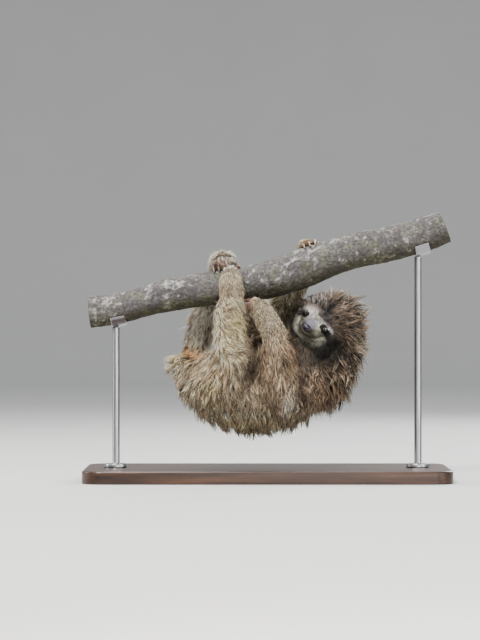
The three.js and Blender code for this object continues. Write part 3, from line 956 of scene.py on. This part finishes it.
def lie_of_coat(points, normals, shares):
    """The direction that the coat lies in at each point."""
    x, z = points[:, 0], points[:, 2]
    fall = 0.25 + 1.2 * smoothstep(132, 96, z) + 0.8 * smoothstep(-55, -80, x)
    over_claws = 0.7 * spot(points, (-13, -46, 198), (7, 22, 6))
    edge = smoothstep(6, 22, x - 0.2 * (170 - z)) * smoothstep(110, 135, z)
    to_elbow = unit(ELBOW_TIP - points) * [1, 0.3, 1] + [0.05, 0, -0.3]
    lies = dict.fromkeys(("trunk", "neck"), lie_of_trunk(points, normals)) | {
        "head": unit(points - from_head(BROW_CENTRE)) + 0.12 * DOWN,
        "thigh_left": unit((points - GROIN) * [1, 0, 1]) + fall[:, None] * DOWN,
        "shank_left": blend(np.array([0.68, 0, -0.72]), [0.95, 0, -0.2], smoothstep(165, 142, z)),
        "hand_left": blend(np.array([0.25, 0, -0.95]), [-1.2, 0, 0.1], over_claws),
        "foot_right": unit(points - FAR_FOOT_TOP) + 0.3 * DOWN,
        "foot_left": blend(np.array([0.3, 0, -0.95]), [0, 0.7, 0.7], smoothstep(226, 233, z)),
        "forearm_left": unit(to_elbow) + edge[:, None] * [1.1, 0, 0.2],
        **LIE,
    }
    return unit(sum(unit(np.array(lies[name])) * part(shares, name)[:, None] for name in FLESH))


def lie_of_trunk(points, normals):
    x, z = points[:, 0], points[:, 2]
    from_head_down = unit((points - (HEAD_CENTRE + [-6, 0, -4])) * [1, 0.4, 1]) + 0.15 * DOWN
    front = smoothstep(22, 54, x + 0.35 * (z - 110))
    rump = smoothstep(-60, -95, x) * smoothstep(100, 120, z)
    lie = blend(np.array([0.06, 0, -1]), from_head_down, front) + rump[:, None] * [-0.6, 0, 0]
    hang = smoothstep(88, 60, z)[:, None]
    parting = smoothstep(0.3, 0.9, normals[:, 2])[:, None]
    outwards = np.stack([0 * x, np.sign(points[:, 1] - 2), 0 * x], 1)
    return unit(lie) * (1 - 0.5 * hang) + DOWN * hang + 0.8 * parting * outwards


def coat_table(shares, local):
    """Each point's coat figures, and how much of them comes from the short coat of the face."""
    bare = 1 - smoothstep(0.92, 1.45, from_face_axis(local))
    bare = (bare * np.clip(1.5 * part(shares, "head") - 0.3, 0, 1)) ** 0.5
    return blend(shares @ FIGURES, FACE_TUFT, bare), bare


def pick_roots(skin, triangles, loops, density, uvs):
    """Evenly spread roots: their points, the triangle each is on, and their place on the unwrap."""
    corners = mesh_points(skin)[triangles]
    across = np.cross(corners[:, 1] - corners[:, 0], corners[:, 2] - corners[:, 0])
    area = np.linalg.norm(across, axis=1) / 2
    total = np.cumsum(area * density[triangles].mean(1))
    count = int(total[-1])
    marks = (np.arange(count) + RNG.random(count)) * (total[-1] / count)
    which = np.minimum(np.searchsorted(total, marks), len(total) - 1)
    a, b = RNG.random(count), RNG.random(count)
    fold = a + b > 1
    a, b = np.where(fold, 1 - a, a), np.where(fold, 1 - b, b)
    weights = np.stack([1 - a - b, a, b], 1)
    place = (corners[which] * weights[..., None]).sum(1)
    uv = (uvs[loops[which]] * weights[..., None]).sum(1)
    return place, which, weights, uv


def at_roots(values, triangles, which, weights):
    return (values[triangles[which]] * weights[..., None]).sum(1)


def clump_guides(roots, spacing):
    """For each root, the index of the guide tuft that it leans to."""
    order = RNG.permutation(len(roots))
    guides = order[: max(1, int(len(roots) / spacing))]
    tree = KDTree(len(guides))
    for i, guide in enumerate(guides):
        tree.insert(roots[guide], i)
    tree.balance()
    return np.array([guides[tree.find(p)[1]] for p in roots.tolist()])


def drawn(lines, guide, strength):
    """Draws each tuft towards its guide, the more the nearer its tip."""
    ramp = (np.arange(STEPS + 1) / STEPS) ** 1.3
    near = np.linalg.norm(lines[guide, 0] - lines[:, 0], axis=1) < PULL_REACH
    pull = (strength * near)[:, None, None] * ramp[None, :, None]
    return lines + (lines[guide] - lines) * pull


def tuft_lines(roots, normals, flow, figures, hang):
    """The points along each tuft, from its root to its tip."""
    length, lift, droop = figures[:, LENGTH], figures[:, LIFT], figures[:, DROOP]
    side = unit(np.cross(flow, normals))
    turn = 0.5 * fractal(roots, 11, 2, 11) + RNG.normal(0, 0.2, len(roots))
    way = unit(flow - normals * (flow * normals).sum(1, keepdims=True) + 1e-6)
    way = unit(way * np.cos(turn)[:, None] + side * np.sin(turn)[:, None])
    rise = np.radians(np.clip(lift + RNG.normal(0, 8, len(roots)), 2, 80))
    heading = unit(normals * np.sin(rise)[:, None] + way * np.cos(rise)[:, None])
    bend = RNG.normal(0, 0.11, len(roots))[:, None] * side - 0.065 * normals
    lines = [roots - 0.6 * normals]
    step = (length / STEPS)[:, None]
    for k in range(STEPS):
        lines.append(lines[-1] + heading * step)
        pull = (droop * (1 + hang) * (0.33 + 0.67 * k / STEPS))[:, None] * DOWN
        wave = RNG.normal(0, 0.07, (len(roots), 3))
        heading = unit(heading + pull + bend + wave)
    return np.stack(lines, 1)


def height_over(envelope, points):
    """How far points lie outside the solids' outline, or less than none inside it."""
    heights = np.empty(len(points))
    for i, point in enumerate(points.tolist()):
        place, normal, _, away = envelope.find_nearest(Vector(point), 90)
        heights[i] = away if (Vector(point) - place).dot(normal) > 0 else -away
    return heights


def kept_in_outline(lines, envelope, lock, wisp, bare, length, wild):
    """Shortens the tufts whose tips stand too far out, lock by lock."""
    roots, tips = lines[:, 0], lines[:, -1]
    low, high = height_over(envelope, roots), height_over(envelope, tips)
    ragged = smoothstep(*RAGGED, length)
    depth = LOCK_LOW * ragged + (0.25 + (LOCK_SPAN - 0.25 + 0.55 * wild) * ragged) * lock
    allowed = -low * depth + np.abs(RNG.normal(0, 0.5, len(lines)))
    allowed = np.where(wisp, RNG.random(len(lines)) * (3 + 2 * ragged + 7 * wild), allowed)
    for more, centre, radii in REACHES:
        allowed += more * spot(roots, centre, radii)
    share = (allowed - low) / np.maximum(high - low, 1e-3)
    share = np.where(high > allowed, np.clip(share, 0.3, 1), 1)
    share = share + (1 - share) * np.clip(bare * 1.5, 0, 1)
    return roots[:, None] + (lines - roots[:, None]) * share[:, None, None]


def tuft_mesh(lines, normals, width, colours, fade, uv, segments):
    """Closed three-sided tufts along lines, with their colours and unwrap; each is painted darker towards
    its root, as shade deep in the coat.
    """
    lines = lines[:, np.linspace(0, STEPS, segments + 1).round().astype(int)]
    heading = unit(np.gradient(lines, axis=1))
    side = unit(np.cross(heading, normals[:, None]))
    up = np.cross(side, heading)
    share = np.arange(segments) / segments
    radius = width[:, None] * np.interp(share, [0, 0.3, 0.6, 1], [0.7, 1, 0.85, 0.1]) / 2
    turn = RING[:, None]
    circle = np.cos(turn) * side[:, :-1, None] + FLATNESS * np.sin(turn) * up[:, :-1, None]
    rings = lines[:, :-1, None] + circle * radius[..., None, None]
    points = np.concatenate([rings.reshape(len(lines), -1, 3), lines[:, -1:]], 1)
    per = points.shape[1]
    corners = [(i, (i + 1) % 3) for i in range(3)]
    one = [(0, 2, 1)]
    for k in range(0, per - 4, 3):
        for i, j in corners:
            one += [(k + i, k + j, k + j + 3), (k + i, k + j + 3, k + i + 3)]
    one += [(per - 4 + i, per - 4 + j, per - 1) for i, j in corners]
    triangles = (np.array(one) + per * np.arange(len(lines))[:, None, None]).reshape(-1, 3)
    along = np.append(np.repeat(share, 3), 1.0)
    across = np.append(np.tile([0, -1, 1], segments), 0.0)
    tint = blend((colours * ROOT_SHADE)[:, None], colours[:, None], along ** fade[:, None])
    unwrap = uv[:, None] + np.stack([across * PATCH * 0.45, (along - 0.5) * PATCH], 1)
    return points.reshape(-1, 3), triangles, tint.reshape(-1, 3), unwrap.reshape(-1, 2)


def add_wisps(lines, figures, wisp, strand):
    """Turns the tufts nearest to each place into long single hairs."""
    for start, way, length in WISPS:
        near = np.argsort(np.linalg.norm(lines[:, 0] - np.array(start), axis=1))[:3]
        for k, index in enumerate(near):
            heading = unit(np.array(way, float) + RNG.normal(0, 0.12, 3))
            curl = RNG.normal(0, 0.08, 3) + 0.04 * DOWN
            step = length * (1 - 0.2 * k) / STEPS
            for j in range(STEPS):
                lines[index, j + 1] = lines[index, j] + heading * step
                heading = unit(heading + curl)
            figures[index, WIDTH] = 1.7
            wisp[index] = strand[index] = True


def make_coat(skin, shares, uvs, envelope):
    """The tufts' roots, owners and segments, and what their meshes are made from."""
    triangles, loops = mesh_triangles(skin)
    points = mesh_points(skin)
    local = to_head(points)
    density = coat_table(shares, local)[0][:, DENSITY] * bald(local) * free_of_branch(points)
    place, which, weights, uv = pick_roots(skin, triangles, loops, density, uvs)
    count = len(place)
    normal = unit(at_roots(normals_of(points, triangles), triangles, which, weights))
    share = at_roots(shares, triangles, which, weights)
    figures, bare = coat_table(share, to_head(place))
    for centre, reach, changes in ALTERED:
        for figure, more in changes.items():
            figures[:, figure] += more * spot(place, centre, reach)
    figures[:, LENGTH] = np.maximum(figures[:, LENGTH], SHORTEST)
    flow = lie_of_coat(place, normal, share)
    under = smoothstep(-0.2, -0.9, normal[:, 2])
    right = smoothstep(40, 85, place[:, 0]) * part(share, "trunk")
    wild = (part(share, "head") + part(share, "neck") + right) * (1 - 0.8 * spot(place, *BROW))
    wisp = RNG.random(count) < WISP_SHARE
    strand = RNG.random(count) < BRIGHT_SHARE
    guide, leader = clump_guides(place, TUFTS_TO_STRAND), clump_guides(place, TUFTS_TO_LOCK)
    lock = RNG.random(count)[leader] ** LOCK_RARITY
    tall = lock * wild * (1 - bare)
    figures[:, LENGTH] *= np.exp(RNG.normal(0, 0.2, count)) * np.where(wisp & (bare < 0.2), 1.2, 1)
    figures[:, LENGTH] *= 1 + 0.3 * tall
    figures[:, LIFT] += np.where(wisp, 12, 0) + np.where(strand, 4, -4) + 10 * under + 12 * tall
    lines = tuft_lines(place, normal, flow, figures, under)
    strength = figures[:, CLUMP] * (0.6 + 0.5 * RNG.random(count)) + 0.5 * lock
    strength = np.clip(strength, 0, 0.97) * ~wisp
    lines = drawn(lines, leader, (0.5 + 0.3 * wild) * strength)
    lines = drawn(lines, guide, strength)
    lines = kept_in_outline(lines, envelope, lock, wisp, bare, figures[:, LENGTH], wild)
    add_wisps(lines, figures, wisp, strand)
    tone = np.exp(RNG.normal(0, 0.25, count))[guide] * np.exp(RNG.normal(0, 0.18, count))
    # The deep tufts are painted darker than the strands over them, as painted shade, the more so where the
    # coat is wild and the less where EVEN is high.
    tone *= np.where(strand, 1.35 + 0.6 * tall, 0.34 - 0.24 * wild + 0.36 * (share @ EVEN))
    tone = tone ** (1 - 0.45 * bare)
    seen = lines[:, 0] + (lines[:, -1] - lines[:, 0]) * 0.55
    colour = np.clip(coat_colour(seen, share) * tone[:, None], 0, LIGHTEST)
    width = figures[:, WIDTH] * np.exp(RNG.normal(0, 0.15, count))
    width *= np.where(wisp, 0.6, np.where(strand, 0.85, 1.3))
    length = np.linalg.norm(lines[:, -1] - lines[:, 0], axis=1)
    segments = np.where((length < SHORT) | ~strand & ~wisp, 2, 3)
    # How far up each tuft the painted shade of its root reaches.
    fade = 0.9 + 1.1 * wild * (1 - bare)
    return place, share.argmax(1), segments, lines, normal, width, colour, fade, uv


def bald(local):
    """None over the eyes, nose and lips, and one elsewhere."""
    x, y, z = local.T
    free = np.ones(len(local))
    for centre, look in EYES:
        free *= smoothstep(3.4, 4.6, np.linalg.norm(local - (centre + look * EYE_RADIUS), axis=1))
    nose = np.linalg.norm((local - NOSE_PLACE) / (NOSE_SIZE + 1.2), axis=1)
    free *= smoothstep(0.95, 1.15, nose)
    in_mouth = (np.abs(x) < 17) & (z > 10)
    free *= np.where(in_mouth, smoothstep(0.4, 1.2, np.abs(y - mouth_line(x))), 1)
    return free * np.where(z > 14, smoothstep(0.6, 1.1, np.hypot(x / 6.0, (y - 3) / 5.0)), 1)


def free_of_branch(points):
    """None where the skin touches the branch, and one elsewhere."""
    x = points[:, 0]
    away = np.hypot(points[:, 1], points[:, 2] - branch_height(x)) - branch_radius(x)
    return smoothstep(0.3, 2.0, away)


REGIONS = {
    "coat_head": ["head"],
    "coat_neck": ["neck", "upper_arm_left", "upper_arm_right"],
    "coat_trunk": ["trunk"],
    "coat_rump": ["tail", "thigh_left", "thigh_right"],
    "coat_legs": ["shank_left", "foot_left", "shank_right", "foot_right"],
    "coat_arms": ["forearm_left", "hand_left", "forearm_right", "hand_right"],
}


def add_coat(skin, shares, uvs, envelope, material):
    """The coat in pieces, region by region, each of them under the limit on triangles."""
    place, owner, segments, *figures = make_coat(skin, shares, uvs, envelope)
    for region, names in REGIONS.items():
        chosen = np.flatnonzero(np.isin(owner, [FLESH.index(name) for name in names]))
        chosen = chosen[np.argsort(place[chosen, 0], kind="stable")]
        batches = np.cumsum(6 * segments[chosen] - 2) // MOST_TRIANGLES
        for batch in np.unique(batches):
            group = chosen[batches == batch]
            made, start = [], 0
            for number in np.unique(segments[group]):
                some = group[segments[group] == number]
                points, triangles, *looks = tuft_mesh(*(f[some] for f in figures), int(number))
                made.append((points, triangles + start, *looks))
                start += len(points)
            points, triangles, tint, unwrap = map(np.concatenate, zip(*made))
            name = f"{region}_{int(batch) + 1}"
            mesh = new_mesh(name, points, triangles)
            paint(mesh, "coat_colour", tint)
            layer = mesh.uv_layers.new(name="OFBake")
            layer.data.foreach_set("uv", unwrap[triangles.ravel()].astype(np.float32).ravel())
            new_piece(name, mesh, material)


def coat_material():
    shader = Shader("fur", 0.62, Sheen_Weight=0.15, Specular_IOR_Level=0.35)
    mottle = shader.ramp(shader.noise(0.0016, 2, 0.5), (0.3, 0.86), (0.7, 1.12))
    shader.colour(shader.times(shader.attribute("coat_colour")["Color"], mottle))
    return shader.material


def skin_material():
    shader = Shader("skin", 0.7, Specular_IOR_Level=0.3)
    grain = shader.noise(0.0009, 3, 0.6)
    tint = shader.attribute("skin_colour")["Color"]
    shader.colour(shader.times(tint, shader.ramp(grain, (0.3, 0.8), (0.7, 1.1))))
    shader.bump(grain, 0.0003, 0.5)
    return shader.material


def unwrap_skin(piece):
    mesh = piece.data
    mesh.uv_layers.new(name="OFBake")
    bpy.ops.object.select_all(action="DESELECT")
    bpy.context.view_layer.objects.active = piece
    piece.select_set(True)
    bpy.ops.object.mode_set(mode="EDIT")
    bpy.ops.mesh.select_all(action="SELECT")
    bpy.ops.uv.smart_project(angle_limit=math.radians(66), island_margin=0.002)
    bpy.ops.object.mode_set(mode="OBJECT")
    return read(mesh.uv_layers["OFBake"].data, "uv", 2, np.float32).astype(float)


def add_sloth():
    skin, envelope = make_skin()
    piece = new_piece("skin", skin, skin_material(), FLESH)
    skin.polygons.foreach_set("use_smooth", np.ones(len(skin.polygons), bool))
    points = mesh_points(skin)
    shares = relaxed(node_shares(points), mesh_edges(skin), 8)
    uvs = unwrap_skin(piece)
    _, bare = coat_table(shares, to_head(points))
    colour = coat_colour(points, shares)
    # The skin under the coat is painted at a small share of the coat's colour, as painted shade deep in the
    # coat; the bare face keeps nearly its own colour.
    paint(skin, "skin_colour", blend(colour * 0.16, colour * 0.92, bare))
    add_coat(skin, shares, uvs, envelope, coat_material())


# ---- Eyes, nose and claws ----


def ball_rings(steps, sides):
    """Rings of unit vectors from one pole to the other, round z."""
    polar, turn = np.linspace(0.02, math.pi - 0.02, steps)[:, None], turns(sides)
    x, y = np.sin(polar) * np.cos(turn), np.sin(polar) * np.sin(turn)
    return np.stack([x, y, np.cos(polar) + 0 * turn], -1)


def add_eyes():
    shader = Shader("eye", 0.1, Coat_Weight=0.2, Coat_Roughness=0.03, Specular_IOR_Level=0.3)
    shader.colour(shader.attribute("eye_colour")["Color"])
    ball = ball_rings(40, 56)
    radius = EYE_RADIUS - 0.2 + 0.25 * smoothstep(0.8, 1.0, ball[..., 2:])  # fuller at the cornea
    facing = np.append(ball[..., 2], [1, -1])
    iris = smoothstep(0.6, 0.75, facing) * (1 - smoothstep(0.86, 0.92, facing))
    for name, (centre, look) in zip(("left", "right"), EYES):
        side = unit(np.cross([0, 1.0, 0], look))
        turned = ball @ np.array([side, np.cross(look, side), look])
        shape = tube(from_head(centre + turned * radius))
        piece = solid_piece(f"eyeball_{name}", shape, shader.material, "eye", f"eye_{name}")
        paint(piece.data, "eye_colour", blend(srgb(14, 10, 9), srgb(36, 25, 18), iris))


def add_nose():
    ball = ball_rings(64, 96)
    x, y, z = np.moveaxis(ball, -1, 0)
    relief = np.ones_like(x)
    for side in (1, -1):
        out = x - side * 0.46
        pit = np.hypot(out / 0.2, (y + 0.12 - 0.3 * side * out) / 0.27)
        relief -= 0.3 * (z > 0) * np.exp(-(pit**2.4))
    relief -= 0.07 * (z > 0) * bell(x / 0.07) * smoothstep(0.4, -0.4, y)
    shape = tube(from_head(ball * relief[..., None] * NOSE_SIZE + NOSE_PLACE))
    shader = Shader("nose", 0.34)
    pebbles = shader.node("ShaderNodeTexVoronoi", {"Vector": shader.place, "Scale": 1 / 0.0006})
    shader.colour(shader.ramp(shader.noise(0.002, 3), (0.3, srgb(26, 23, 32)), (0.7, srgb(46, 41, 54))))
    shader.bump(pebbles.outputs["Distance"], 0.0002, 0.6)
    solid_piece("nose_pad", shape, shader.material, "nose", "nose")


CLAW_BASE, CLAW_TIP, CLAW_SPACING = 2.7, 0.8, 6.3  # the radius at each end, and the gap


def claw_line(limb, number, share):
    """The middle of a claw, as in the solids."""
    if limb == "hand_left":
        turn = np.radians(-10 + 142 * share)
        reach = 19.5 + 12 * (1 - share) ** 4
        height = 199 - number * CLAW_SPACING * 0.95 - 5 * share
        return np.stack([-39 + reach * np.cos(turn), -39 + reach * np.sin(turn), height], -1)
    # Its place along the branch, the angles where it starts and ends, and its lift at the start.
    x, start, end, lift = {
        "foot_left": (-34.5, 34, 114, 1),
        "foot_right": (-50.5, 106, 58, 6),
        "hand_right": (54, 122, 58, 3),
    }[limb]
    fan = (number - 1) * CLAW_SPACING * (1 - 0.12 * share)
    clear = CLAW_BASE + 0.4 + lift * (1 - share) ** 2 - 1.3 * share
    return around_branch(x + fan, start + (end - start) * share, clear)


def claw_material():
    shader = Shader("claw", 0.38, Coat_Weight=0.25)
    along = shader.attribute("claw_share")["Fac"]
    streak = shader.noise(0.0015, 3, 0.6)
    base = shader.ramp(along, (0.0, srgb(112, 80, 78)), (0.4, srgb(108, 84, 78)), (1.0, srgb(112, 100, 88)))
    shader.colour(shader.times(base, shader.ramp(streak, (0.3, 0.72), (0.7, 1.08))))
    shader.bump(streak, 0.0002, 0.4)
    return shader.material


def add_claws():
    material = claw_material()
    turn = turns(20)[:, None]
    for limb in ("foot_left", "foot_right", "hand_right", "hand_left"):
        share = np.linspace({"foot_left": 0.3, "hand_left": 0.1}.get(limb, -0.03), 1, 44)
        s = np.clip(share, 0, 1)
        radius = CLAW_BASE + (CLAW_TIP - CLAW_BASE) * s**1.4
        radius *= np.where(s > 0.9, np.sqrt(np.clip(1 - ((s - 0.9) / 0.1) ** 2, 0.003, 1)), 1)
        axis = [0, 0, 1.0] if limb == "hand_left" else [1.0, 0, 0.2]
        for number in range(3):
            line = claw_line(limb, number, share)
            heading = unit(np.gradient(line, axis=0))
            side = unit(np.cross(heading, np.cross(axis, heading)))
            up = np.cross(side, heading)
            ring = np.cos(turn) * side[:, None] * 0.82 + np.sin(turn) * up[:, None]
            shape = tube(line[:, None] + ring * radius[:, None, None])
            along = np.append(np.repeat(s, len(turn)), [0, 1])
            name = f"claw_{limb}_{number + 1}"
            solid_piece(f"{name}_horn", shape, material, "claw", name, claw_share=along)


# ---- The branch ----

# Each knot's place along the branch, its angle in degrees, its size and its rise.
KNOTS = [(-120, 30, 6, 1.6), (110, 60, 7, 2.0), (150, -30, 5, 1.4), (-10, 110, 6, 1.5), (70, 20, 4, 1.1)]


def add_branch():
    """The bark, with ridges, crust, lichen and knots, and the cut ends."""
    steps, sides = 300, 120
    t = np.linspace(0, 1, steps)[:, None]
    x, angle = np.broadcast_arrays((t - 0.5) * BRANCH_LENGTH, turns(sides))
    turned = np.arctan2(-np.cos(angle), -np.sin(angle))
    ridges = 0.028 * np.sin(2 * turned + 2 * np.pi * x / 118)
    ridges = ridges + 0.02 * np.sin(3 * turned - 2 * np.pi * x / 71)
    flat = around_branch(x.ravel(), np.degrees(angle.ravel()), 0)
    wrap = np.stack([x * 0.35, 20 * np.cos(angle), 20 * np.sin(angle)], -1).reshape(-1, 3)
    crust = fractal(flat, 7, 4, 3) + 0.5 * fractal(flat, 34, 2, 4) + 0.12 * np.sin(angle.ravel())
    lichen = smoothstep(0.38, 0.52, crust)
    height = 0.42 * fractal(wrap, 4.0, 4, 1) + 0.7 * fractal(flat, 22, 3, 2) + 0.3 * lichen
    height = (height + 0.3 * fractal(flat, 2.2, 2, 5)).reshape(steps, sides)
    for knot_x, knot_angle, size, rise in KNOTS:
        turn = (angle - math.radians(knot_angle) + math.pi) % (2 * math.pi) - math.pi
        away = np.hypot(x - knot_x, turn * 18) / size
        height += rise * bell(away) - 0.55 * rise * bell(away / 0.42)
    ends = smoothstep(0, 0.004, np.minimum(t, 1 - t))
    reach = branch_radius(x) * ridges + (height - 0.35) * (0.3 + 0.7 * ends)
    shape = tube(around_branch(x, np.degrees(angle), reach))
    # The underside layer carries the painted shade under the branch.
    layers = {"lichen": lichen, "underside": smoothstep(0.0, -0.9, np.sin(angle))}
    layers = {name: np.append(values, [0, 0]) for name, values in layers.items()}
    solid_piece("branch_bark", shape, bark_material(), "bark", "branch", **layers)
    add_cut_ends()


def cut_material():
    """Sawn wood, with growth rings, a dark heart and a dark rim."""
    shader = Shader("cut_wood", 0.7)
    radius = shader.attribute("ring")["Fac"]
    warp = shader.math("MULTIPLY", shader.noise(0.012, 3), 5.0)
    rings = shader.math("SINE", shader.math("ADD", shader.math("MULTIPLY", radius, 40.0), warp))
    heart = (0.05, srgb(92, 70, 50)), (0.4, srgb(138, 114, 86))
    rind = (0.88, srgb(150, 128, 98)), (0.95, srgb(70, 58, 46))
    lines = shader.ramp(rings, (0.1, 1), (0.9, (0.5, 0.46, 0.4)))
    wood = shader.times(shader.ramp(radius, *heart, *rind), lines)
    saw = shader.noise(0.0012, 3, 0.6, shader.stretched(1, 1, 0.12))
    shader.colour(shader.times(wood, shader.ramp(saw, (0.35, 0.78), (0.65, 1))))
    shader.bump(saw, 0.0004, 0.6)
    return shader.material


def add_cut_ends():
    """The sawn end faces, as thin closed discs."""
    material = cut_material()
    r, a = np.meshgrid(np.linspace(0.02, 1, 24), turns(64), indexing="ij")
    for name, out in (("left", -1), ("right", 1)):
        x = out * BRANCH_LENGTH / 2
        face = around_branch(np.full_like(r, x), np.degrees(a), (r - 1) * branch_radius(x) - 1.6 * r)
        along = unit(np.array([1, 0, branch_slope(x)])) * out
        outer = face + along * (0.5 - 0.35 * np.clip(r - 0.93, 0, 1)[..., None] * 14)
        shape = tube(np.concatenate([outer, face[-1:] - along]))
        ring = np.concatenate([r.ravel(), np.ones(64), [0, 0]])
        solid_piece(f"branch_end_{name}", shape, material, "bark", ring=ring)


def bark_material():
    shader = Shader("bark", 0.88, Specular_IOR_Level=0.25)
    grain = shader.noise(0.0026, 6, 0.7, shader.stretched(0.75, 1, 1))
    patches, moss = shader.noise(0.022, 3, 0.55), shader.noise(0.018, 4, 0.6)
    fleck = shader.noise(0.004, 5, 0.7)
    bark = shader.ramp(grain, (0.3, srgb(58, 54, 52)), (0.5, srgb(88, 85, 83)), (0.72, srgb(120, 117, 115)))
    dark = shader.ramp(grain, (0.3, srgb(56, 52, 54)), (0.7, srgb(100, 96, 99)))
    green = shader.ramp(grain, (0.3, srgb(60, 62, 50)), (0.7, srgb(124, 126, 110)))
    bark = shader.mix(shader.ramp(patches, (0.46, 0.0), (0.6, 0.7)), bark, dark)
    bark = shader.mix(shader.ramp(moss, (0.5, 0.0), (0.62, 0.6)), bark, green)
    white = shader.ramp(fleck, (0.35, srgb(102, 100, 98)), (0.62, srgb(154, 153, 152)))
    crust = shader.ramp(fleck, (0.42, 0.2), (0.56, 0.95))
    cover = shader.times(crust, shader.attribute("lichen")["Fac"])
    # The underside is painted darker, as painted shade, with a yellowish-green tint of its own.
    low = shader.ramp(shader.attribute("underside")["Fac"], (0.0, 1), (1.0, srgb(214, 212, 188)))
    shader.colour(shader.times(shader.mix(cover, bark, white), low))
    shader.bump(grain, 0.0009, 0.8)
    return shader.material


# ---- The stand ----

ROD_X, ROD_RADIUS, FOOT_RADIUS = 166, 4.0, 13.0
BASE_LENGTH, BASE_WIDTH, BASE_HEIGHT = 400, 172, 14
SADDLE_HALF, SADDLE_WALL, SADDLE_WRAP = 8, 2.6, 62


def rounded_board(length, width, height, corner, bevel):
    """A board with rounded corners and edges, standing on z = 0."""
    bend = np.linspace(0, math.pi / 2, 8)
    levels = [(0.6, 0.0), (0.0, 0.6)]
    levels += [(bevel * (1 - math.cos(a)), height - bevel + bevel * math.sin(a)) for a in bend]
    rings = []
    for inset, z in levels:
        ring, r = [], corner - inset
        for cx, cy, first in ((1, -1, -90), (1, 1, 0), (-1, 1, 90), (-1, -1, 180)):
            x, y = cx * (length / 2 - corner), cy * (width / 2 - corner)
            for a in np.radians(np.linspace(first, first + 90, 14)):
                ring.append((x + r * math.cos(a), y + r * math.sin(a), z))
        rings.append(ring)
    return tube(np.array(rings))


def stand_piece(name, shape, material, slot, node):
    piece = solid_piece(f"stand_{name}", shape, material, slot, f"stand_{node}")
    piece.data.set_sharp_from_angle(angle=math.radians(38))


def wood_material():
    wood = Shader("stand_wood", 0.36, Coat_Weight=0.3, Coat_Roughness=0.18)
    grain = wood.noise(0.006, 6, 0.6, wood.stretched(0.06, 1, 1), 0.4)
    fine = wood.noise(0.0012, 3, 0.6, wood.stretched(0.04, 1, 1))
    tone = wood.ramp(grain, (0.3, srgb(38, 24, 17)), (0.55, srgb(66, 43, 30)), (0.75, srgb(88, 60, 42)))
    wood.colour(wood.times(tone, wood.ramp(fine, (0.35, 0.8), (0.6, 1.05))))
    wood.bump(fine, 0.0002, 0.3)
    return wood.material


def metal_material():
    metal = Shader("stand_metal", 0.3, Metallic=1.0)
    brushed = metal.noise(0.0006, 3, 0.6, metal.stretched(1, 1, 0.03))
    metal.colour(metal.ramp(brushed, (0.35, srgb(150, 150, 152)), (0.65, srgb(176, 176, 178))))
    metal.bump(brushed, 0.00005, 0.4)
    return metal.material


def post_profile(foot, top):
    """A rod with its foot: radii and heights from the base up."""
    rod, wide = ROD_RADIUS, FOOT_RADIUS
    low = [(0.5, 0), (wide - 0.4, 0), (wide, 0.4), (wide, 2.8), (wide - 0.35, 3.7), (wide - 1.2, 4)]
    low += [(rod + 1.3, 4), (rod + 0.3, 4.3), (rod, 5.2)]
    return [(r, foot + z) for r, z in low] + [(rod, top - 0.4), (rod - 0.4, top), (0.5, top)]


def saddle(x):
    """A curved plate that the branch lies in, arc by arc along its wrap."""
    along = unit(np.array([1, 0, branch_slope(x)]))
    lean = unit(np.array([-branch_slope(x), 0, 1]))
    centre = np.array([x, 0, branch_height(x)])
    inner = branch_radius(x) + 0.3
    outer = inner + SADDLE_WALL
    half, ease = SADDLE_HALF, 0.5
    section = [(-half, outer - ease), (ease - half, outer), (half - ease, outer), (half, outer - ease)]
    section += [(half, inner + ease), (half - ease, inner), (ease - half, inner), (-half, inner + ease)]
    rings = []
    for a in np.radians(np.linspace(-90 - SADDLE_WRAP, -90 + SADDLE_WRAP, 49)):
        away = math.sin(a) * lean - math.cos(a) * np.array([0, 1, 0])
        rings.append([centre + along * step + away * radius for step, radius in section])
    return tube(np.array(rings))


def add_stand():
    board = rounded_board(BASE_LENGTH, BASE_WIDTH, BASE_HEIGHT, 22, 2.2)
    stand_piece("board", board, wood_material(), "stand_wood", "base")
    metal = metal_material()
    for name, x in (("left", -ROD_X), ("right", ROD_X)):
        top = branch_height(x) - branch_radius(x) - 3.8
        post = lathe(post_profile(BASE_HEIGHT + 0.3, top), x)
        stand_piece(f"post_{name}", post, metal, "stand_metal", f"rod_{name}")
        stand_piece(f"cradle_{name}", saddle(x), metal, "stand_metal", f"saddle_{name}")


# ---- Assembly ----

make_camera()
make_light()
make_floor()
add_stand()
add_branch()
add_claws()
add_eyes()
add_nose()
add_sloth()
